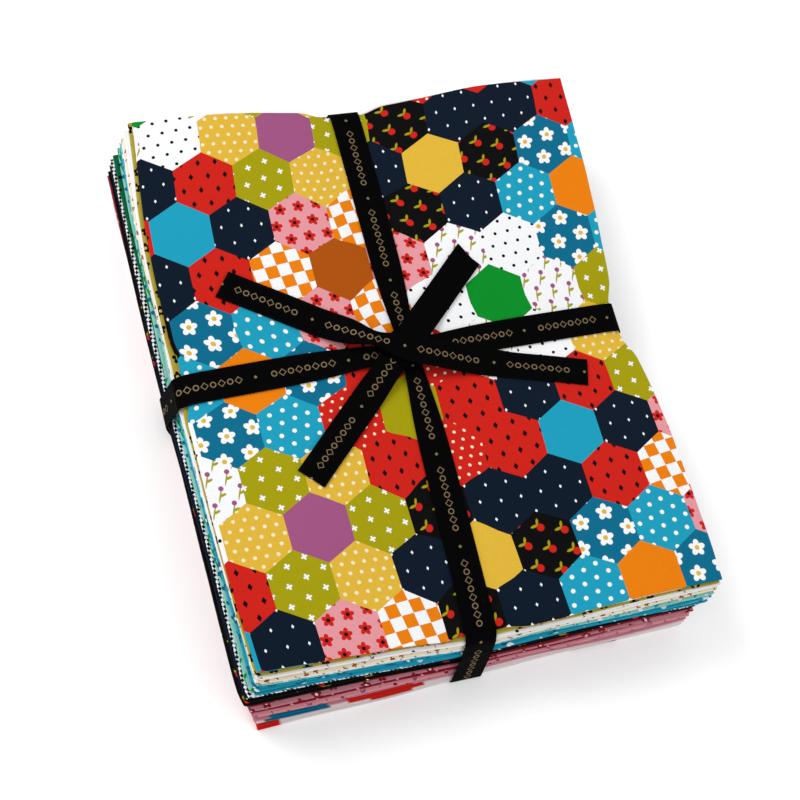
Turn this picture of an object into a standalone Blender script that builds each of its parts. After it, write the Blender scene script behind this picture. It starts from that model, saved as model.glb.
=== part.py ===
"""Fat quarter bundle: a stack of folded cotton fat quarters tied up with two ribbons.

Every fat quarter is one sheet of cotton, folded in half twice. The first fold runs along the
front, the second down the left long side, and the cut edges lie at the right and at the back,
so each sheet runs back and forth through four layers a little apart. Each has its own place in
the stack. One ribbon goes round the stack lengthwise and one crosswise. They are knotted on
top, which presses the soft stack down under them and leaves its corners standing, and their
four free ends lie on the uppermost print.

Frame: X across the bundle, Y along it to the back, Z up, origin under the middle of its box.
"""
import math
from collections import namedtuple

import bpy
import bmesh
from mathutils import Vector

# ---------------------------------------------------------------- driving dimensions, metres
INCH = 0.0254
MM = 0.001
CUT_WIDTH = 18 * INCH
CUT_LENGTH = 22 * INCH
FOLDED_WIDTH = CUT_WIDTH / 2
FOLDED_LENGTH = CUT_LENGTH / 2
STACK_HEIGHT = 50 * MM
CLOTH = 0.27 * MM
SHEET_GAP = 0.40 * MM          # between two fat quarters at the corners, where they lie loosest
RIBBON_WIDTH = 15.2 * MM
RIBBON_THICKNESS = 0.8 * MM
RIBBON_GAP = 0.34 * MM         # between a ribbon and what it lies on
TAIL_WIDTH = 14.4 * MM         # the free ends curl a little across
CENTRE_SHIFT = (6.435 * MM, 9.172 * MM)     # puts the middle of the bounding box at x = y = 0

# ---------------------------------------------------------------- the ties on the stack
# middle line of each tie: its place at the middle of the stack and its slant
LENGTHWISE_X, LENGTHWISE_SLANT = -6.75 * MM, 0.009
CROSSWISE_Y, CROSSWISE_SLANT = 0.25 * MM, 0.0256

# how far the ties press the top of the stack down, mm: a row for each place along the stack,
# a column for each place across it
ACROSS = (-114.3, -17.0, 3.0, 114.3)
TOP_DIP = {
    139.7: (0.5, 9.0, 9.0, 0.0),
    75.0: (2.5, 7.0, 7.0, 3.0),
    12.0: (7.0, 6.0, 6.0, 9.0),
    -12.0: (7.0, 6.0, 6.0, 8.5),
    -75.0: (2.5, 7.0, 7.0, 3.0),
    -139.7: (0.5, 8.5, 8.5, 0.5),
}
# how many ribbons pass below, which lift the stack off the ground by as many steps
LIFT_STEP = 1.20 * MM
LIFT = {
    139.7: (0.0, 1.1, 1.1, 0.0),
    12.0: (1.1, 2.0, 2.0, 1.1),
    -12.0: (1.1, 2.0, 2.0, 1.1),
    -139.7: (0.0, 1.1, 1.1, 0.0),
}
# the lowest sheet lies flat on the ground but for a channel over each ribbon
LOWEST_ACROSS = (-114.3, -34.0, -17.0, 3.0, 20.0, 114.3)
LOWEST_LIFT = {
    139.7: (0.0, 0.0, 1.0, 1.0, 0.0, 0.0),
    29.0: (0.0, 0.0, 1.0, 1.0, 0.0, 0.0),
    12.0: (1.0, 1.0, 2.0, 2.0, 1.0, 1.0),
    -12.0: (1.0, 1.0, 2.0, 2.0, 1.0, 1.0),
    -29.0: (0.0, 0.0, 1.0, 1.0, 0.0, 0.0),
    -139.7: (0.0, 0.0, 1.0, 1.0, 0.0, 0.0),
}
ALONG = (75.0, 12.0, -12.0, -75.0)
LOWEST_ALONG = (75.0, 29.0, 12.0, -12.0, -29.0, -75.0)
# where the crosswise ribbon is lifted over the lengthwise one below the stack, mm: place, rise
CROSSING_BELOW = ((-31.0, 0.0), (-16.5, 1.2), (2.5, 1.2), (17.0, 0.0))

# how far the ties draw the edges of the upper sheets in or out, mm at each place
LEFT_BOW = {139.7: 0.0, 75.0: -6.0, 12.0: -4.8, -12.0: -4.4, -75.0: -3.6, -139.7: 0.0}
RIGHT_BOW = {139.7: 0.0, 75.0: -2.5, 12.0: -7.0, -12.0: -6.6, -75.0: -1.4, -139.7: 0.0}
FRONT_BOW = {-114.3: 0.0, -17.0: -2.0, 3.0: -2.0, 114.3: 0.0}
BACK_BOW = {-114.3: 0.0, -17.0: -2.7, 3.0: -2.7, 114.3: 0.0}
BOW_FADE = 1.5

# ---------------------------------------------------------------- the fat quarters, top first
# left, front:   how far the left fold and the front fold stand out past a true stack, mm
# side, end:     how far the long and the short edges are turned, degrees
# narrow, short: how much narrower and shorter it is folded, mm
# slip:          how far its cut edges miss each other, mm
FatQuarter = namedtuple("FatQuarter", "cloth left front side end narrow short slip")
FAT_QUARTERS = (
    FatQuarter("patchwork", 1.0, 1.3, -0.3, 0.0, 0.5, 1.0, 1.2),
    FatQuarter("butter", 2.3, 1.9, 0.1, 0.0, 1.0, 0.0, 0.8),
    FatQuarter("cloud", 2.0, 2.9, 0.4, 0.1, 0.0, 1.5, 1.0),
    FatQuarter("blush", 3.0, 3.1, 0.5, 0.0, 1.5, 0.5, 0.6),
    FatQuarter("rose", 3.3, 4.0, 0.7, 0.1, 0.5, 2.0, 1.2),
    FatQuarter("cream", 3.0, 4.2, 0.8, 0.2, 0.0, 1.0, 0.7),
    FatQuarter("mint", 3.6, 4.7, 0.9, 0.0, 2.0, 2.5, 1.1),
    FatQuarter("teal", 3.9, 4.8, 0.9, 0.2, 0.5, 1.0, 0.9),
    FatQuarter("turquoise", 3.7, 5.7, 1.0, 0.3, 1.0, 3.0, 1.3),
    FatQuarter("lagoon", 4.8, 5.6, 1.1, 0.2, 0.0, 1.5, 0.6),
    FatQuarter("leaf", 5.4, 6.1, 1.2, 0.3, 1.5, 3.5, 1.0),
    FatQuarter("dash", 5.2, 5.8, 1.4, 0.4, 0.5, 2.0, 0.8),
    FatQuarter("chalk", 6.9, 6.3, 1.5, 0.4, 2.5, 3.0, 1.2),
    FatQuarter("midnight", 7.4, 6.6, 1.5, 0.5, 1.5, 4.0, 0.9),
    FatQuarter("black", 7.6, 7.0, 1.6, 0.7, 1.0, 3.0, 0.7),
    FatQuarter("coal", 8.5, 7.3, 1.6, 0.8, 3.0, 3.5, 1.3),
    FatQuarter("crimson", 8.2, 8.1, 2.2, 0.8, 2.0, 4.5, 1.0),
    FatQuarter("dusk", 7.3, 8.5, 1.8, 1.0, 3.0, 3.0, 0.8),
    FatQuarter("scarlet", 7.6, 9.0, 1.7, 1.2, 4.0, 4.0, 1.1),
    FatQuarter("mauve", 6.7, 9.2, 1.8, 1.2, 4.5, 2.5, 0.9),
    FatQuarter("petal", 6.4, 10.1, 1.9, 1.3, 5.0, 3.5, 1.2),
    FatQuarter("ocean", 5.6, 10.3, 1.8, 1.5, 5.0, 2.0, 0.7),
    FatQuarter("river", 5.9, 11.0, 2.0, 1.6, 6.5, 3.0, 1.0),
    FatQuarter("pearl", 5.0, 11.4, 2.1, 1.9, 7.0, 2.5, 0.8),
    FatQuarter("fog", 4.2, 12.3, 2.2, 2.1, 8.0, 3.5, 1.1),
    FatQuarter("cherry", 4.3, 12.7, 2.3, 2.3, 8.5, 3.0, 0.9),
)
# base colour of each cloth; all are plain woven cotton
CLOTH_COLOURS = {
    "patchwork": (0.62, 0.16, 0.05), "butter": (0.60, 0.50, 0.12), "cloud": (0.62, 0.66, 0.74),
    "blush": (0.80, 0.58, 0.60), "rose": (0.62, 0.24, 0.24), "cream": (0.82, 0.78, 0.66),
    "mint": (0.60, 0.78, 0.68), "teal": (0.02, 0.30, 0.36), "turquoise": (0.03, 0.42, 0.50),
    "lagoon": (0.04, 0.34, 0.34), "leaf": (0.04, 0.25, 0.11), "dash": (0.72, 0.70, 0.62),
    "chalk": (0.80, 0.78, 0.72), "midnight": (0.012, 0.014, 0.018),
    "black": (0.010, 0.010, 0.012), "coal": (0.014, 0.012, 0.016),
    "crimson": (0.35, 0.02, 0.04), "dusk": (0.40, 0.28, 0.30), "scarlet": (0.58, 0.02, 0.03),
    "mauve": (0.42, 0.16, 0.22), "petal": (0.58, 0.34, 0.38), "ocean": (0.01, 0.13, 0.20),
    "river": (0.02, 0.26, 0.36), "pearl": (0.66, 0.66, 0.66), "fog": (0.56, 0.54, 0.56),
    "cherry": (0.45, 0.03, 0.03),
}
COTTON_ROUGHNESS = 0.85
RIBBON_COLOUR = (0.012, 0.012, 0.013)
RIBBON_ROUGHNESS = 0.42

# ---------------------------------------------------------------- the free ends
# start, end: where the two ends of a strand lie, mm; base: how high it crosses the knot, mm
# flat, reach: how far from the knot it stays at that height and where it meets the print, mm
# cut: how far the ends are cut off the square, mm
Strand = namedtuple("Strand", "name start end base flat reach cut_start cut_end")
KNOT = (-12.4, -0.9)
KNOT_LENGTH = 12.6 * MM
STRANDS = (
    Strand("tie_ends_under", (-70.7, -57.4), (35.4, 44.4), 47.8, 8.0, 36.0, 0.0, 4.0),
    Strand("tie_ends_over", (-89.8, 46.1), (79.5, -25.8), 50.1, 12.0, 44.0, -1.5, 0.5),
)
KNOT_BASE = 46.64 * MM
STRAND_STEP = 5.0 * MM
BEND = 26.0 * MM               # length of each arm of the turn that a strand takes at the knot

# ---------------------------------------------------------------- worked out
PITCH = (STACK_HEIGHT + SHEET_GAP) / len(FAT_QUARTERS)
SHEET_HEIGHT = PITCH - SHEET_GAP
LAYER_STEP = (SHEET_HEIGHT - CLOTH) / 3
OUTSIDE = (LAYER_STEP + CLOTH) / 2
INSIDE = (LAYER_STEP - CLOTH) / 2
FOLD_ANGLES = (90, 30, -30, -90)
FOLD, CUT = "fold", "cut edge"
TIE_MIDDLE = (LENGTHWISE_X, CROSSWISE_Y)


# ---------------------------------------------------------------- tables
def between(table, place):
    """Straight-line value at a place in a table of place: value, drawn on past its ends."""
    places = sorted(table)
    for low, high in zip(places, places[1:]):
        if place <= high or high == places[-1]:
            share = (place - low) / (high - low)
            return table[low] * (1 - share) + table[high] * share


def cell_of(places, place):
    """The two neighbours in a row of places that a place lies between."""
    ordered = sorted(places)
    for low, high in zip(ordered, ordered[1:]):
        if place <= high or high == ordered[-1]:
            return low, high


def column_values(rows, across, along, x):
    """Table values down one line across, at the rows either side."""
    values = {}
    for place in along:
        line = {y: between(dict(zip(across, row)), x) for y, row in rows.items()}
        values[place] = between(line, place)
    return values


def surface(rows, across, along, x, y):
    """Value in metres at x, y on flat triangles that fan out from where the ties cross."""
    x_mm, y_mm = x / MM, y / MM
    left, right = cell_of(across, x_mm)
    near, far = cell_of((*along, *(sorted(rows)[0], sorted(rows)[-1])), y_mm)
    at_left = column_values(rows, across, (near, far), left)
    at_right = column_values(rows, across, (near, far), right)
    u, v = (x_mm - left) / (right - left), (y_mm - near) / (far - near)
    a, b, c, d = at_left[near], at_right[near], at_left[far], at_right[far]
    if fans_out((left + right) / 2, (near + far) / 2):
        value = a + (b - a) * u + (d - b) * v if u >= v else a + (c - a) * v + (d - c) * u
    else:
        value = a + (b - a) * u + (c - a) * v if u + v <= 1 else (
            d + (c - d) * (1 - u) + (b - d) * (1 - v))
    return value * MM


def fans_out(x_mm, y_mm):
    """Whether the diagonal from front left to back right leads away from the crossing."""
    return (x_mm - TIE_MIDDLE[0] / MM) * (y_mm - TIE_MIDDLE[1] / MM) >= 0


# ---------------------------------------------------------------- the shape of the stack
def top_height(x, y):
    """Height of the upper face of the stack."""
    return STACK_HEIGHT - surface(TOP_DIP, ACROSS, ALONG, x, y)


def settle(x, y, height, lowest=False):
    """Where a point at this height in a loose stack lies once the ties are pulled tight."""
    if lowest:
        lift = surface(LOWEST_LIFT, LOWEST_ACROSS, LOWEST_ALONG, x, y)
    else:
        lift = surface(LIFT, ACROSS, ALONG, x, y)
    lift *= LIFT_STEP / MM
    return lift + height / STACK_HEIGHT * (top_height(x, y) - lift)


def middle_height(number):
    """Height of the middle of a fat quarter in the loose stack, the top one being number 1."""
    return STACK_HEIGHT - (number - 1) * PITCH - SHEET_HEIGHT / 2


class Outline:
    """The edges of one fat quarter in the stack, seen from above."""

    def __init__(self, piece, height):
        self.piece = piece
        self.side = math.tan(math.radians(piece.side))
        self.end = math.tan(math.radians(piece.end))
        self.pull = (height / STACK_HEIGHT) ** BOW_FADE * MM

    def left(self, y):
        straight = -FOLDED_WIDTH / 2 - self.piece.left * MM - self.side * y
        return straight + self.pull * between(LEFT_BOW, y / MM)

    def right(self, y):
        straight = FOLDED_WIDTH / 2 - (self.piece.left + self.piece.narrow) * MM - self.side * y
        return straight + self.pull * between(RIGHT_BOW, y / MM)

    def front(self, x):
        straight = -FOLDED_LENGTH / 2 - self.piece.front * MM + self.end * x
        return straight + self.pull * between(FRONT_BOW, x / MM)

    def back(self, x):
        straight = FOLDED_LENGTH / 2 - (self.piece.front + self.piece.short) * MM + self.end * x
        return straight + self.pull * between(BACK_BOW, x / MM)


# ---------------------------------------------------------------- one folded fat quarter
def lines_over(stations):
    """The lines that cross a sheet, from one cut edge over the fold to the other."""
    upper = [(CUT, 90)] + [(station, 90) for station in stations]
    fold = [(FOLD, angle) for angle in FOLD_ANGLES]
    lower = [(station, -90) for station in reversed(stations)] + [(CUT, -90)]
    return upper + fold + lower


def nominal(mark, half_length):
    """A line's place in a true stack."""
    if mark == FOLD:
        return -half_length
    return half_length if mark == CUT else mark * MM


def sheet_point(outline, middle, column, row, half_step, lowest):
    """A point on one face of a sheet; half_step is its distance from the front fold's middle."""
    (across, turn_x), (along, turn_y) = column, row
    rise_x, reach_x = math.sin(math.radians(turn_x)), math.cos(math.radians(turn_x))
    rise_y, reach_y = math.sin(math.radians(turn_y)), math.cos(math.radians(turn_y))
    layer = LAYER_STEP + rise_y * half_step
    slip = outline.piece.slip * MM
    x = nominal(across, FOLDED_WIDTH / 2)
    y = nominal(along, FOLDED_LENGTH / 2)
    if along == FOLD:
        y_at = outline.front(x) + OUTSIDE - reach_y * half_step
    elif along == CUT:
        y_at = outline.back(x) + slip * (0.7 * rise_y - 0.3 * rise_x)
    else:
        y_at = y
    if across == FOLD:
        x = outline.left(y_at) + LAYER_STEP + OUTSIDE - reach_x * layer
    elif across == CUT:
        x = outline.right(y_at) + slip * (0.6 * rise_x + 0.4 * rise_y)
    return Vector((x, y_at, settle(x, y_at, middle + rise_x * layer, lowest)))


def split(mesh, corners, out):
    """Two triangles for a cell of a sheet, parted as in all the other sheets."""
    middle = sum((corner.co for corner in corners), Vector()) / 4
    first = corners[0]
    runs_up = (corners[2].co.x - first.co.x) * (corners[2].co.y - first.co.y) > 0
    if runs_up == fans_out(middle.x / MM, middle.y / MM):
        pairs = ((0, 1, 2), (0, 2, 3))
    else:
        pairs = ((1, 2, 3), (1, 3, 0))
    for triangle in pairs:
        order = triangle if out else triangle[::-1]
        mesh.faces.new([corners[i] for i in order])


def close_sheet(mesh, outer, inner):
    """Both faces of a sheet and the rim round its cut edges."""
    over = [[mesh.verts.new(point) for point in line] for line in outer]
    under = [[mesh.verts.new(point) for point in line] for line in inner]
    columns, rows = len(over), len(over[0])
    for side, out in ((over, True), (under, False)):
        for i in range(columns - 1):
            for j in range(rows - 1):
                split(mesh, (side[i][j], side[i][j + 1], side[i + 1][j + 1], side[i + 1][j]), out)
    border = [(i, 0) for i in range(columns)] + [(columns - 1, j) for j in range(1, rows)]
    border += [(i, rows - 1) for i in range(columns - 2, -1, -1)]
    border += [(0, j) for j in range(rows - 2, 0, -1)]
    for (i, j), (k, m) in zip(border, border[1:] + border[:1]):
        mesh.faces.new((over[i][j], over[k][m], under[k][m]))
        mesh.faces.new((over[i][j], under[k][m], under[i][j]))


def make_object(name, mesh, material):
    bmesh.ops.translate(mesh, verts=mesh.verts[:], vec=(*CENTRE_SHIFT, 0.0))
    bmesh.ops.recalc_face_normals(mesh, faces=mesh.faces[:])
    data = bpy.data.meshes.new(name)
    mesh.to_mesh(data)
    mesh.free()
    data.materials.append(material)
    thing = bpy.data.objects.new(name, data)
    bpy.context.scene.collection.objects.link(thing)


def make_material(name, colour, roughness):
    material = bpy.data.materials.new(name)
    material.use_nodes = True
    shader = material.node_tree.nodes["Principled BSDF"]
    shader.inputs["Base Color"].default_value = (*colour, 1.0)
    shader.inputs["Roughness"].default_value = roughness
    shader.inputs["Metallic"].default_value = 0.0
    return material


def make_fat_quarter(number, piece):
    middle = middle_height(number)
    outline = Outline(piece, middle)
    lowest = number == len(FAT_QUARTERS)
    across = LOWEST_ACROSS if lowest else ACROSS
    columns = lines_over(across[-2:0:-1])
    rows = lines_over(LOWEST_ALONG if lowest else ALONG)

    def face(half_step):
        return [[sheet_point(outline, middle, column, row, half_step, lowest) for row in rows]
                for column in columns]

    mesh = bmesh.new()
    close_sheet(mesh, face(OUTSIDE), face(INSIDE))
    material = make_material("cotton_" + piece.cloth, CLOTH_COLOURS[piece.cloth],
                             COTTON_ROUGHNESS)
    make_object("fat_quarter_%02d" % number, mesh, material)


# ---------------------------------------------------------------- the ties
def hull(points):
    """The tight way round a set of flat points, anticlockwise."""
    ordered = sorted(set(points))

    def half(sequence):
        line = []
        for point in sequence:
            while len(line) > 1:
                ax, ay = line[-1][0] - line[-2][0], line[-1][1] - line[-2][1]
                bx, by = point[0] - line[-2][0], point[1] - line[-2][1]
                if ax * by - ay * bx > 1e-10:
                    break
                line.pop()
            line.append(point)
        return line[:-1]

    return half(ordered) + half(ordered[::-1])


def offset_loop(loop, distance):
    """A convex loop moved out by a distance, its corners rounded in flat steps."""
    moved = []
    for before, here, after in zip(loop[-1:] + loop[:-1], loop, loop[1:] + loop[:1]):
        first = math.atan2(before[0] - here[0], here[1] - before[1])
        turn = (math.atan2(here[0] - after[0], after[1] - here[1]) - first) % (2 * math.pi)
        steps = max(1, math.ceil(turn / math.radians(35)))
        for step in range(steps + 1 if steps > 1 else 1):
            angle = first + turn * (step / steps if steps > 1 else 0.5)
            moved.append((here[0] + math.cos(angle) * distance,
                          here[1] + math.sin(angle) * distance))
    return moved


def tie_middle(place, lengthwise):
    """Middle line of a tie: x for a place along the bundle, or y for a place across it."""
    if lengthwise:
        return LENGTHWISE_X + LENGTHWISE_SLANT * place
    return CROSSWISE_Y + CROSSWISE_SLANT * place


def on_tie(place, side, lengthwise):
    """A point seen from above, side being 0 on a tie's middle line and -1 or 1 at its edges."""
    middle = tie_middle(place, lengthwise) + side * RIBBON_WIDTH / 2
    return (middle, place) if lengthwise else (place, middle)


def stack_section(lengthwise):
    """Where the stack reaches in the upright plane of a tie, over the width of the ribbon."""
    points = []
    for number, piece in enumerate(FAT_QUARTERS, start=1):
        outline = Outline(piece, middle_height(number))
        for level in (-SHEET_HEIGHT / 2, SHEET_HEIGHT / 2):
            height = middle_height(number) + level
            for side in (-1, 1):
                points += edge_points(outline, height, side, lengthwise, number)
    stations = ALONG if lengthwise else ACROSS[1:-1]
    for station in stations:
        for side in (-1, 1):
            x, y = on_tie(station * MM, side, lengthwise)
            points.append((station * MM, top_height(x, y)))
    return points


def edge_points(outline, height, side, lengthwise, number):
    """The two ends of a sheet's section at one height and one edge of a tie."""
    lowest = number == len(FAT_QUARTERS)
    slip = outline.piece.slip * MM
    ends = []
    for far in (-1, 1):
        if lengthwise:
            x = tie_middle(far * FOLDED_LENGTH / 2, True) + side * RIBBON_WIDTH / 2
            place = y = outline.front(x) if far < 0 else outline.back(x) + slip
        else:
            y = tie_middle(far * FOLDED_WIDTH / 2, False) + side * RIBBON_WIDTH / 2
            place = x = outline.left(y) if far < 0 else outline.right(y) + slip
        ends.append((place, settle(x, y, height, lowest)))
    return ends


def raise_below(loop, steps):
    """Takes the underside of a band over the ribbon that it crosses."""
    floor = min(point[1] for point in loop)
    first = max((i for i in range(len(loop)) if loop[i][0] < 0 and loop[i][1] < floor + 1e-4),
                key=lambda i: loop[i][0])
    lifted = [(place * MM, floor + rise * MM) for place, rise in steps]
    return loop[:first + 1] + lifted + loop[first + 1:]


def tie_loops(lengthwise, section):
    loop = hull(section)
    loops = [offset_loop(loop, RIBBON_GAP), offset_loop(loop, RIBBON_GAP + RIBBON_THICKNESS)]
    if not lengthwise:
        loops = [raise_below(each, CROSSING_BELOW) for each in loops]
    return loops


def bridge(mesh, rings, closed):
    """Walls between rings of four corners each, and flat ends on an open band."""
    rings = [[mesh.verts.new(point) for point in ring] for ring in rings]
    following = rings[1:] + rings[:1] if closed else rings[1:]
    for ring, after in zip(rings, following):
        for i in range(4):
            j = (i + 1) % 4
            mesh.faces.new((ring[i], ring[j], after[j]))
            mesh.faces.new((ring[i], after[j], after[i]))
    if not closed:
        for ring in (rings[0], rings[-1]):
            mesh.faces.new((ring[0], ring[1], ring[2]))
            mesh.faces.new((ring[0], ring[2], ring[3]))


def make_tie(name, loops, lengthwise, material):
    rings = []
    for inside, outside in zip(*loops):
        ring = []
        for (place, height), side in ((inside, -1), (inside, 1), (outside, 1), (outside, -1)):
            ring.append(Vector((*on_tie(place, side, lengthwise), height)))
        rings.append(ring)
    mesh = bmesh.new()
    bridge(mesh, rings, True)
    make_object(name, mesh, material)


def upper_line(loop):
    """Height of the upper side of a loop at each of its places."""
    top = max(range(len(loop)), key=lambda i: loop[i][1])
    points = {}
    for direction in (1, -1):
        i = top
        while True:
            after = (i + direction) % len(loop)
            if abs(loop[after][0]) < abs(loop[i][0]) - 1e-3 or loop[after][1] < 0.030:
                break
            points[loop[i][0]] = loop[i][1]
            points[loop[after][0]] = loop[after][1]
            i = after
    return points


# ---------------------------------------------------------------- the free ends and the knot
def strand_path(strand):
    """Places along a strand seen from above, with the distance from the knot of each."""
    knot = Vector(KNOT) * MM
    places = []
    for far, sign in ((Vector(strand.start) * MM, -1), (Vector(strand.end) * MM, 1)):
        run = (far - knot).length
        count = max(2, round((run - BEND) / STRAND_STEP))
        straight = [BEND + (run - BEND) * i / count for i in range(count + 1)]
        places.append([(sign * distance, knot + (far - knot) * distance / run)
                       for distance in straight])
    first, last = places[0][::-1], places[1]
    start, stop = first[-1][1], last[0][1]
    turn = []
    count = round(2 * BEND / STRAND_STEP)
    for i in range(1, count):
        share = i / count
        place = start * (1 - share) ** 2 + knot * 2 * share * (1 - share) + stop * share ** 2
        turn.append((BEND * (2 * share - 1), place))
    return first + turn + last


def clear_height(x, y, tie_lines):
    """Height of the stack and the ties at one place."""
    height = top_height(x, y)
    for lengthwise, line in tie_lines.items():
        place, aside = (y, x) if lengthwise else (x, y)
        if abs(aside - tie_middle(place, lengthwise)) < RIBBON_WIDTH / 2 + 0.5 * MM:
            height = max(height, between(line, place))
    return height


def ease(share):
    share = min(max(share, 0.0), 1.0)
    return share * share * (3 - 2 * share)


def strand_edges(strand, distance, place, along, tie_lines):
    """Heights of a strand's two edges, which clear all that lies under its width."""
    aside = Vector((-along.y, along.x))
    heights = []
    for across in (-1.0, -0.5, 0.0, 0.5, 1.0):
        under = []
        for forth in (-0.6, 0.0, 0.6):
            point = place + aside * across * TAIL_WIDTH / 2 + along * forth * STRAND_STEP
            under.append(clear_height(point.x, point.y, tie_lines))
        heights.append(max(under) + RIBBON_GAP)
    share = ease((abs(distance) / MM - strand.flat) / (strand.reach - strand.flat))
    heights = [max(height, strand.base * MM * (1 - share) + height * share)
               for height in heights]
    left, right = heights[0], heights[-1]
    lack = max(height - (left + (right - left) * i / 4) for i, height in enumerate(heights))
    return left + max(lack, 0.0), right + max(lack, 0.0)


def make_strand(strand, tie_lines, material):
    path = strand_path(strand)
    count = len(path)
    rings = []
    for i, (distance, place) in enumerate(path):
        along = (path[min(i + 1, count - 1)][1] - path[max(i - 1, 0)][1]).normalized()
        left, right = strand_edges(strand, distance, place, along, tie_lines)
        aside = Vector((-along.y, along.x)) * TAIL_WIDTH / 2
        cut = {0: -strand.cut_start, count - 1: strand.cut_end}.get(i, 0.0) * MM / 2 * along
        low_left, low_right = place - aside - cut, place + aside + cut
        corners = ((low_left, left), (low_right, right))
        under = [Vector((*spot, height)) for spot, height in corners]
        above = [point + Vector((0.0, 0.0, RIBBON_THICKNESS)) for point in under[::-1]]
        rings.append(under + above)
    mesh = bmesh.new()
    bridge(mesh, rings, False)
    make_object(strand.name, mesh, material)


def make_knot(material):
    """The turn of ribbon that holds the strands: a flat sleeve round the lower one."""
    start, end = Vector(STRANDS[0].start), Vector(STRANDS[0].end)
    along = (end - start).normalized()
    aside = Vector((-along.y, along.x))
    half_width = TAIL_WIDTH / 2 + RIBBON_GAP + 0.1 * MM
    half_height = RIBBON_THICKNESS / 2 + RIBBON_GAP
    middle = KNOT_BASE + RIBBON_THICKNESS + half_height
    rings = []
    corners = ((1, -1, -90), (1, 1, 0), (-1, 1, 90), (-1, -1, 180))
    for right, up, turn in corners:
        for step in (0, 30, 60, 90):
            angle = math.radians(turn + step)
            ring = []
            for out, end_side in ((0.0, -1), (0.0, 1), (1.0, 1), (1.0, -1)):
                flat = right * half_width + out * RIBBON_THICKNESS * math.cos(angle)
                rise = up * half_height + out * RIBBON_THICKNESS * math.sin(angle)
                spot = Vector(KNOT) * MM + aside * flat + along * end_side * KNOT_LENGTH / 2
                ring.append(Vector((*spot, middle + rise)))
            rings.append(ring)
    mesh = bmesh.new()
    bridge(mesh, rings, True)
    bmesh.ops.remove_doubles(mesh, verts=mesh.verts[:], dist=1e-6)
    make_object("tie_knot", mesh, material)


def main():
    for thing in list(bpy.data.objects):
        bpy.data.objects.remove(thing, do_unlink=True)
    for number, piece in enumerate(FAT_QUARTERS, start=1):
        make_fat_quarter(number, piece)
    lengthwise = tie_loops(True, stack_section(True))
    line = upper_line(lengthwise[1])
    crossing = [(on_tie(0.0, side, True)[0], between(line, 0.0)) for side in (-1, 1)]
    crosswise = tie_loops(False, stack_section(False) + crossing)
    tie_lines = {True: line, False: upper_line(crosswise[1])}
    names = ("tie_lengthwise", "tie_crosswise", "tie_knot", STRANDS[0].name, STRANDS[1].name)
    materials = {name: make_material(name.replace("tie", "ribbon"), RIBBON_COLOUR,
                                     RIBBON_ROUGHNESS) for name in names}
    make_tie(names[0], lengthwise, True, materials[names[0]])
    make_tie(names[1], crosswise, False, materials[names[1]])
    make_knot(materials["tie_knot"])
    for strand in STRANDS:
        make_strand(strand, tie_lines, materials[strand.name])


main()
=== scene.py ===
"""Fat quarter bundle: folded quilting cottons in a stack, tied up with black ribbon.

Run as a script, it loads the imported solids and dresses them: every fat quarter is folded again
from a finer sheet and gets its own print, the ribbons get their satin and gold marks, and a pale
floor, soft light and a camera are set round the bundle.
"""

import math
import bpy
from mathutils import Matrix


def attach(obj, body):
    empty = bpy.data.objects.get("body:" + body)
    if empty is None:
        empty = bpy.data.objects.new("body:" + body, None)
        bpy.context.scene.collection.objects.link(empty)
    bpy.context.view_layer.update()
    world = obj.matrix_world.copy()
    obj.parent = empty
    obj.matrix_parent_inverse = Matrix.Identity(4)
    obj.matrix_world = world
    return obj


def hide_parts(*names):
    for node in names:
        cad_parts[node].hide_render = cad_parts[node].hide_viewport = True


bl_info = {
    "name": "Fat Quarter Bundle",
    "version": (1, 0, 0),
    "blender": (4, 5, 0),
    "location": "View3D > Sidebar > Bundle",
    "description": "Folded cotton prints in a stack, tied with ribbon",
    "category": "Object",
}

from collections import namedtuple

import bpy
import numpy as np
from bpy.props import FloatProperty, FloatVectorProperty, PointerProperty
from mathutils import Matrix, Vector

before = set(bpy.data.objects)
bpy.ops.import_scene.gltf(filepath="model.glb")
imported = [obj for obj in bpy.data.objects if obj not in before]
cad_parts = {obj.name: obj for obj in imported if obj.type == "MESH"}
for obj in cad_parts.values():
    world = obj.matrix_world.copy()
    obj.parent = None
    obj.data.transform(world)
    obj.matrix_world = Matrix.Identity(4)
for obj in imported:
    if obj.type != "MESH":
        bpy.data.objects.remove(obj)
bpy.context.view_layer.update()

MM = 0.001
ROOT = "root"
UP = np.array([0.0, 0.0, 1.0])

# ---- the stack, as in the solids
FOLDED_WIDTH, FOLDED_LENGTH = 0.2286, 0.2794
CENTRE_SHIFT = (6.435 * MM, 9.172 * MM)  # where the middle of a true stack is in their frame
KNOT = (-12.4 * MM, -0.9 * MM)
LIFT_STEP = 1.20 * MM  # how far one ribbon below holds the stack off the ground
LIFT_MORE = 1.04  # times as much for all sheets but the lowest
CROSSING_BELOW = ((-31.0, 0.0), (-16.5, 1.2), (2.5, 1.2), (17.0, 0.0))  # place and rise, mm

# offset, slant: the tie's middle line; half: half the stack along it
# ends: where the top sheet's edges lie under it, mm
# depth, deeper, lean: how far it draws the upper face down in the middle, how much more at the
# edges and how much more towards one of them, mm; reach: how far beside it that goes, mm
# puckers: their run, start, swing and the run of the swing, mm
# lift: how far beside it the stack is held up flat, how far down to the ground, and how far
# down to the ground for the lowest sheet, mm
Tie = namedtuple("Tie", "lengthwise offset slant half ends depth deeper lean reach puckers lift")
LENGTHWISE = Tie(True, -6.75 * MM, 0.009, FOLDED_LENGTH / 2, (-140.7, 132.4),
                 5.4, 3.3, 0.25, 90.0, (6.9, 1.0, 0.8, 23.0), (10.0, 112.0, 27.0))
CROSSWISE = Tie(False, 0.25 * MM, 0.0256, FOLDED_WIDTH / 2, (-117.4, 103.3),
                5.4, 2.4, 1.0, 100.0, (6.3, 0.0, 0.9, 19.0), (11.7, 139.7, 29.0))
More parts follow.
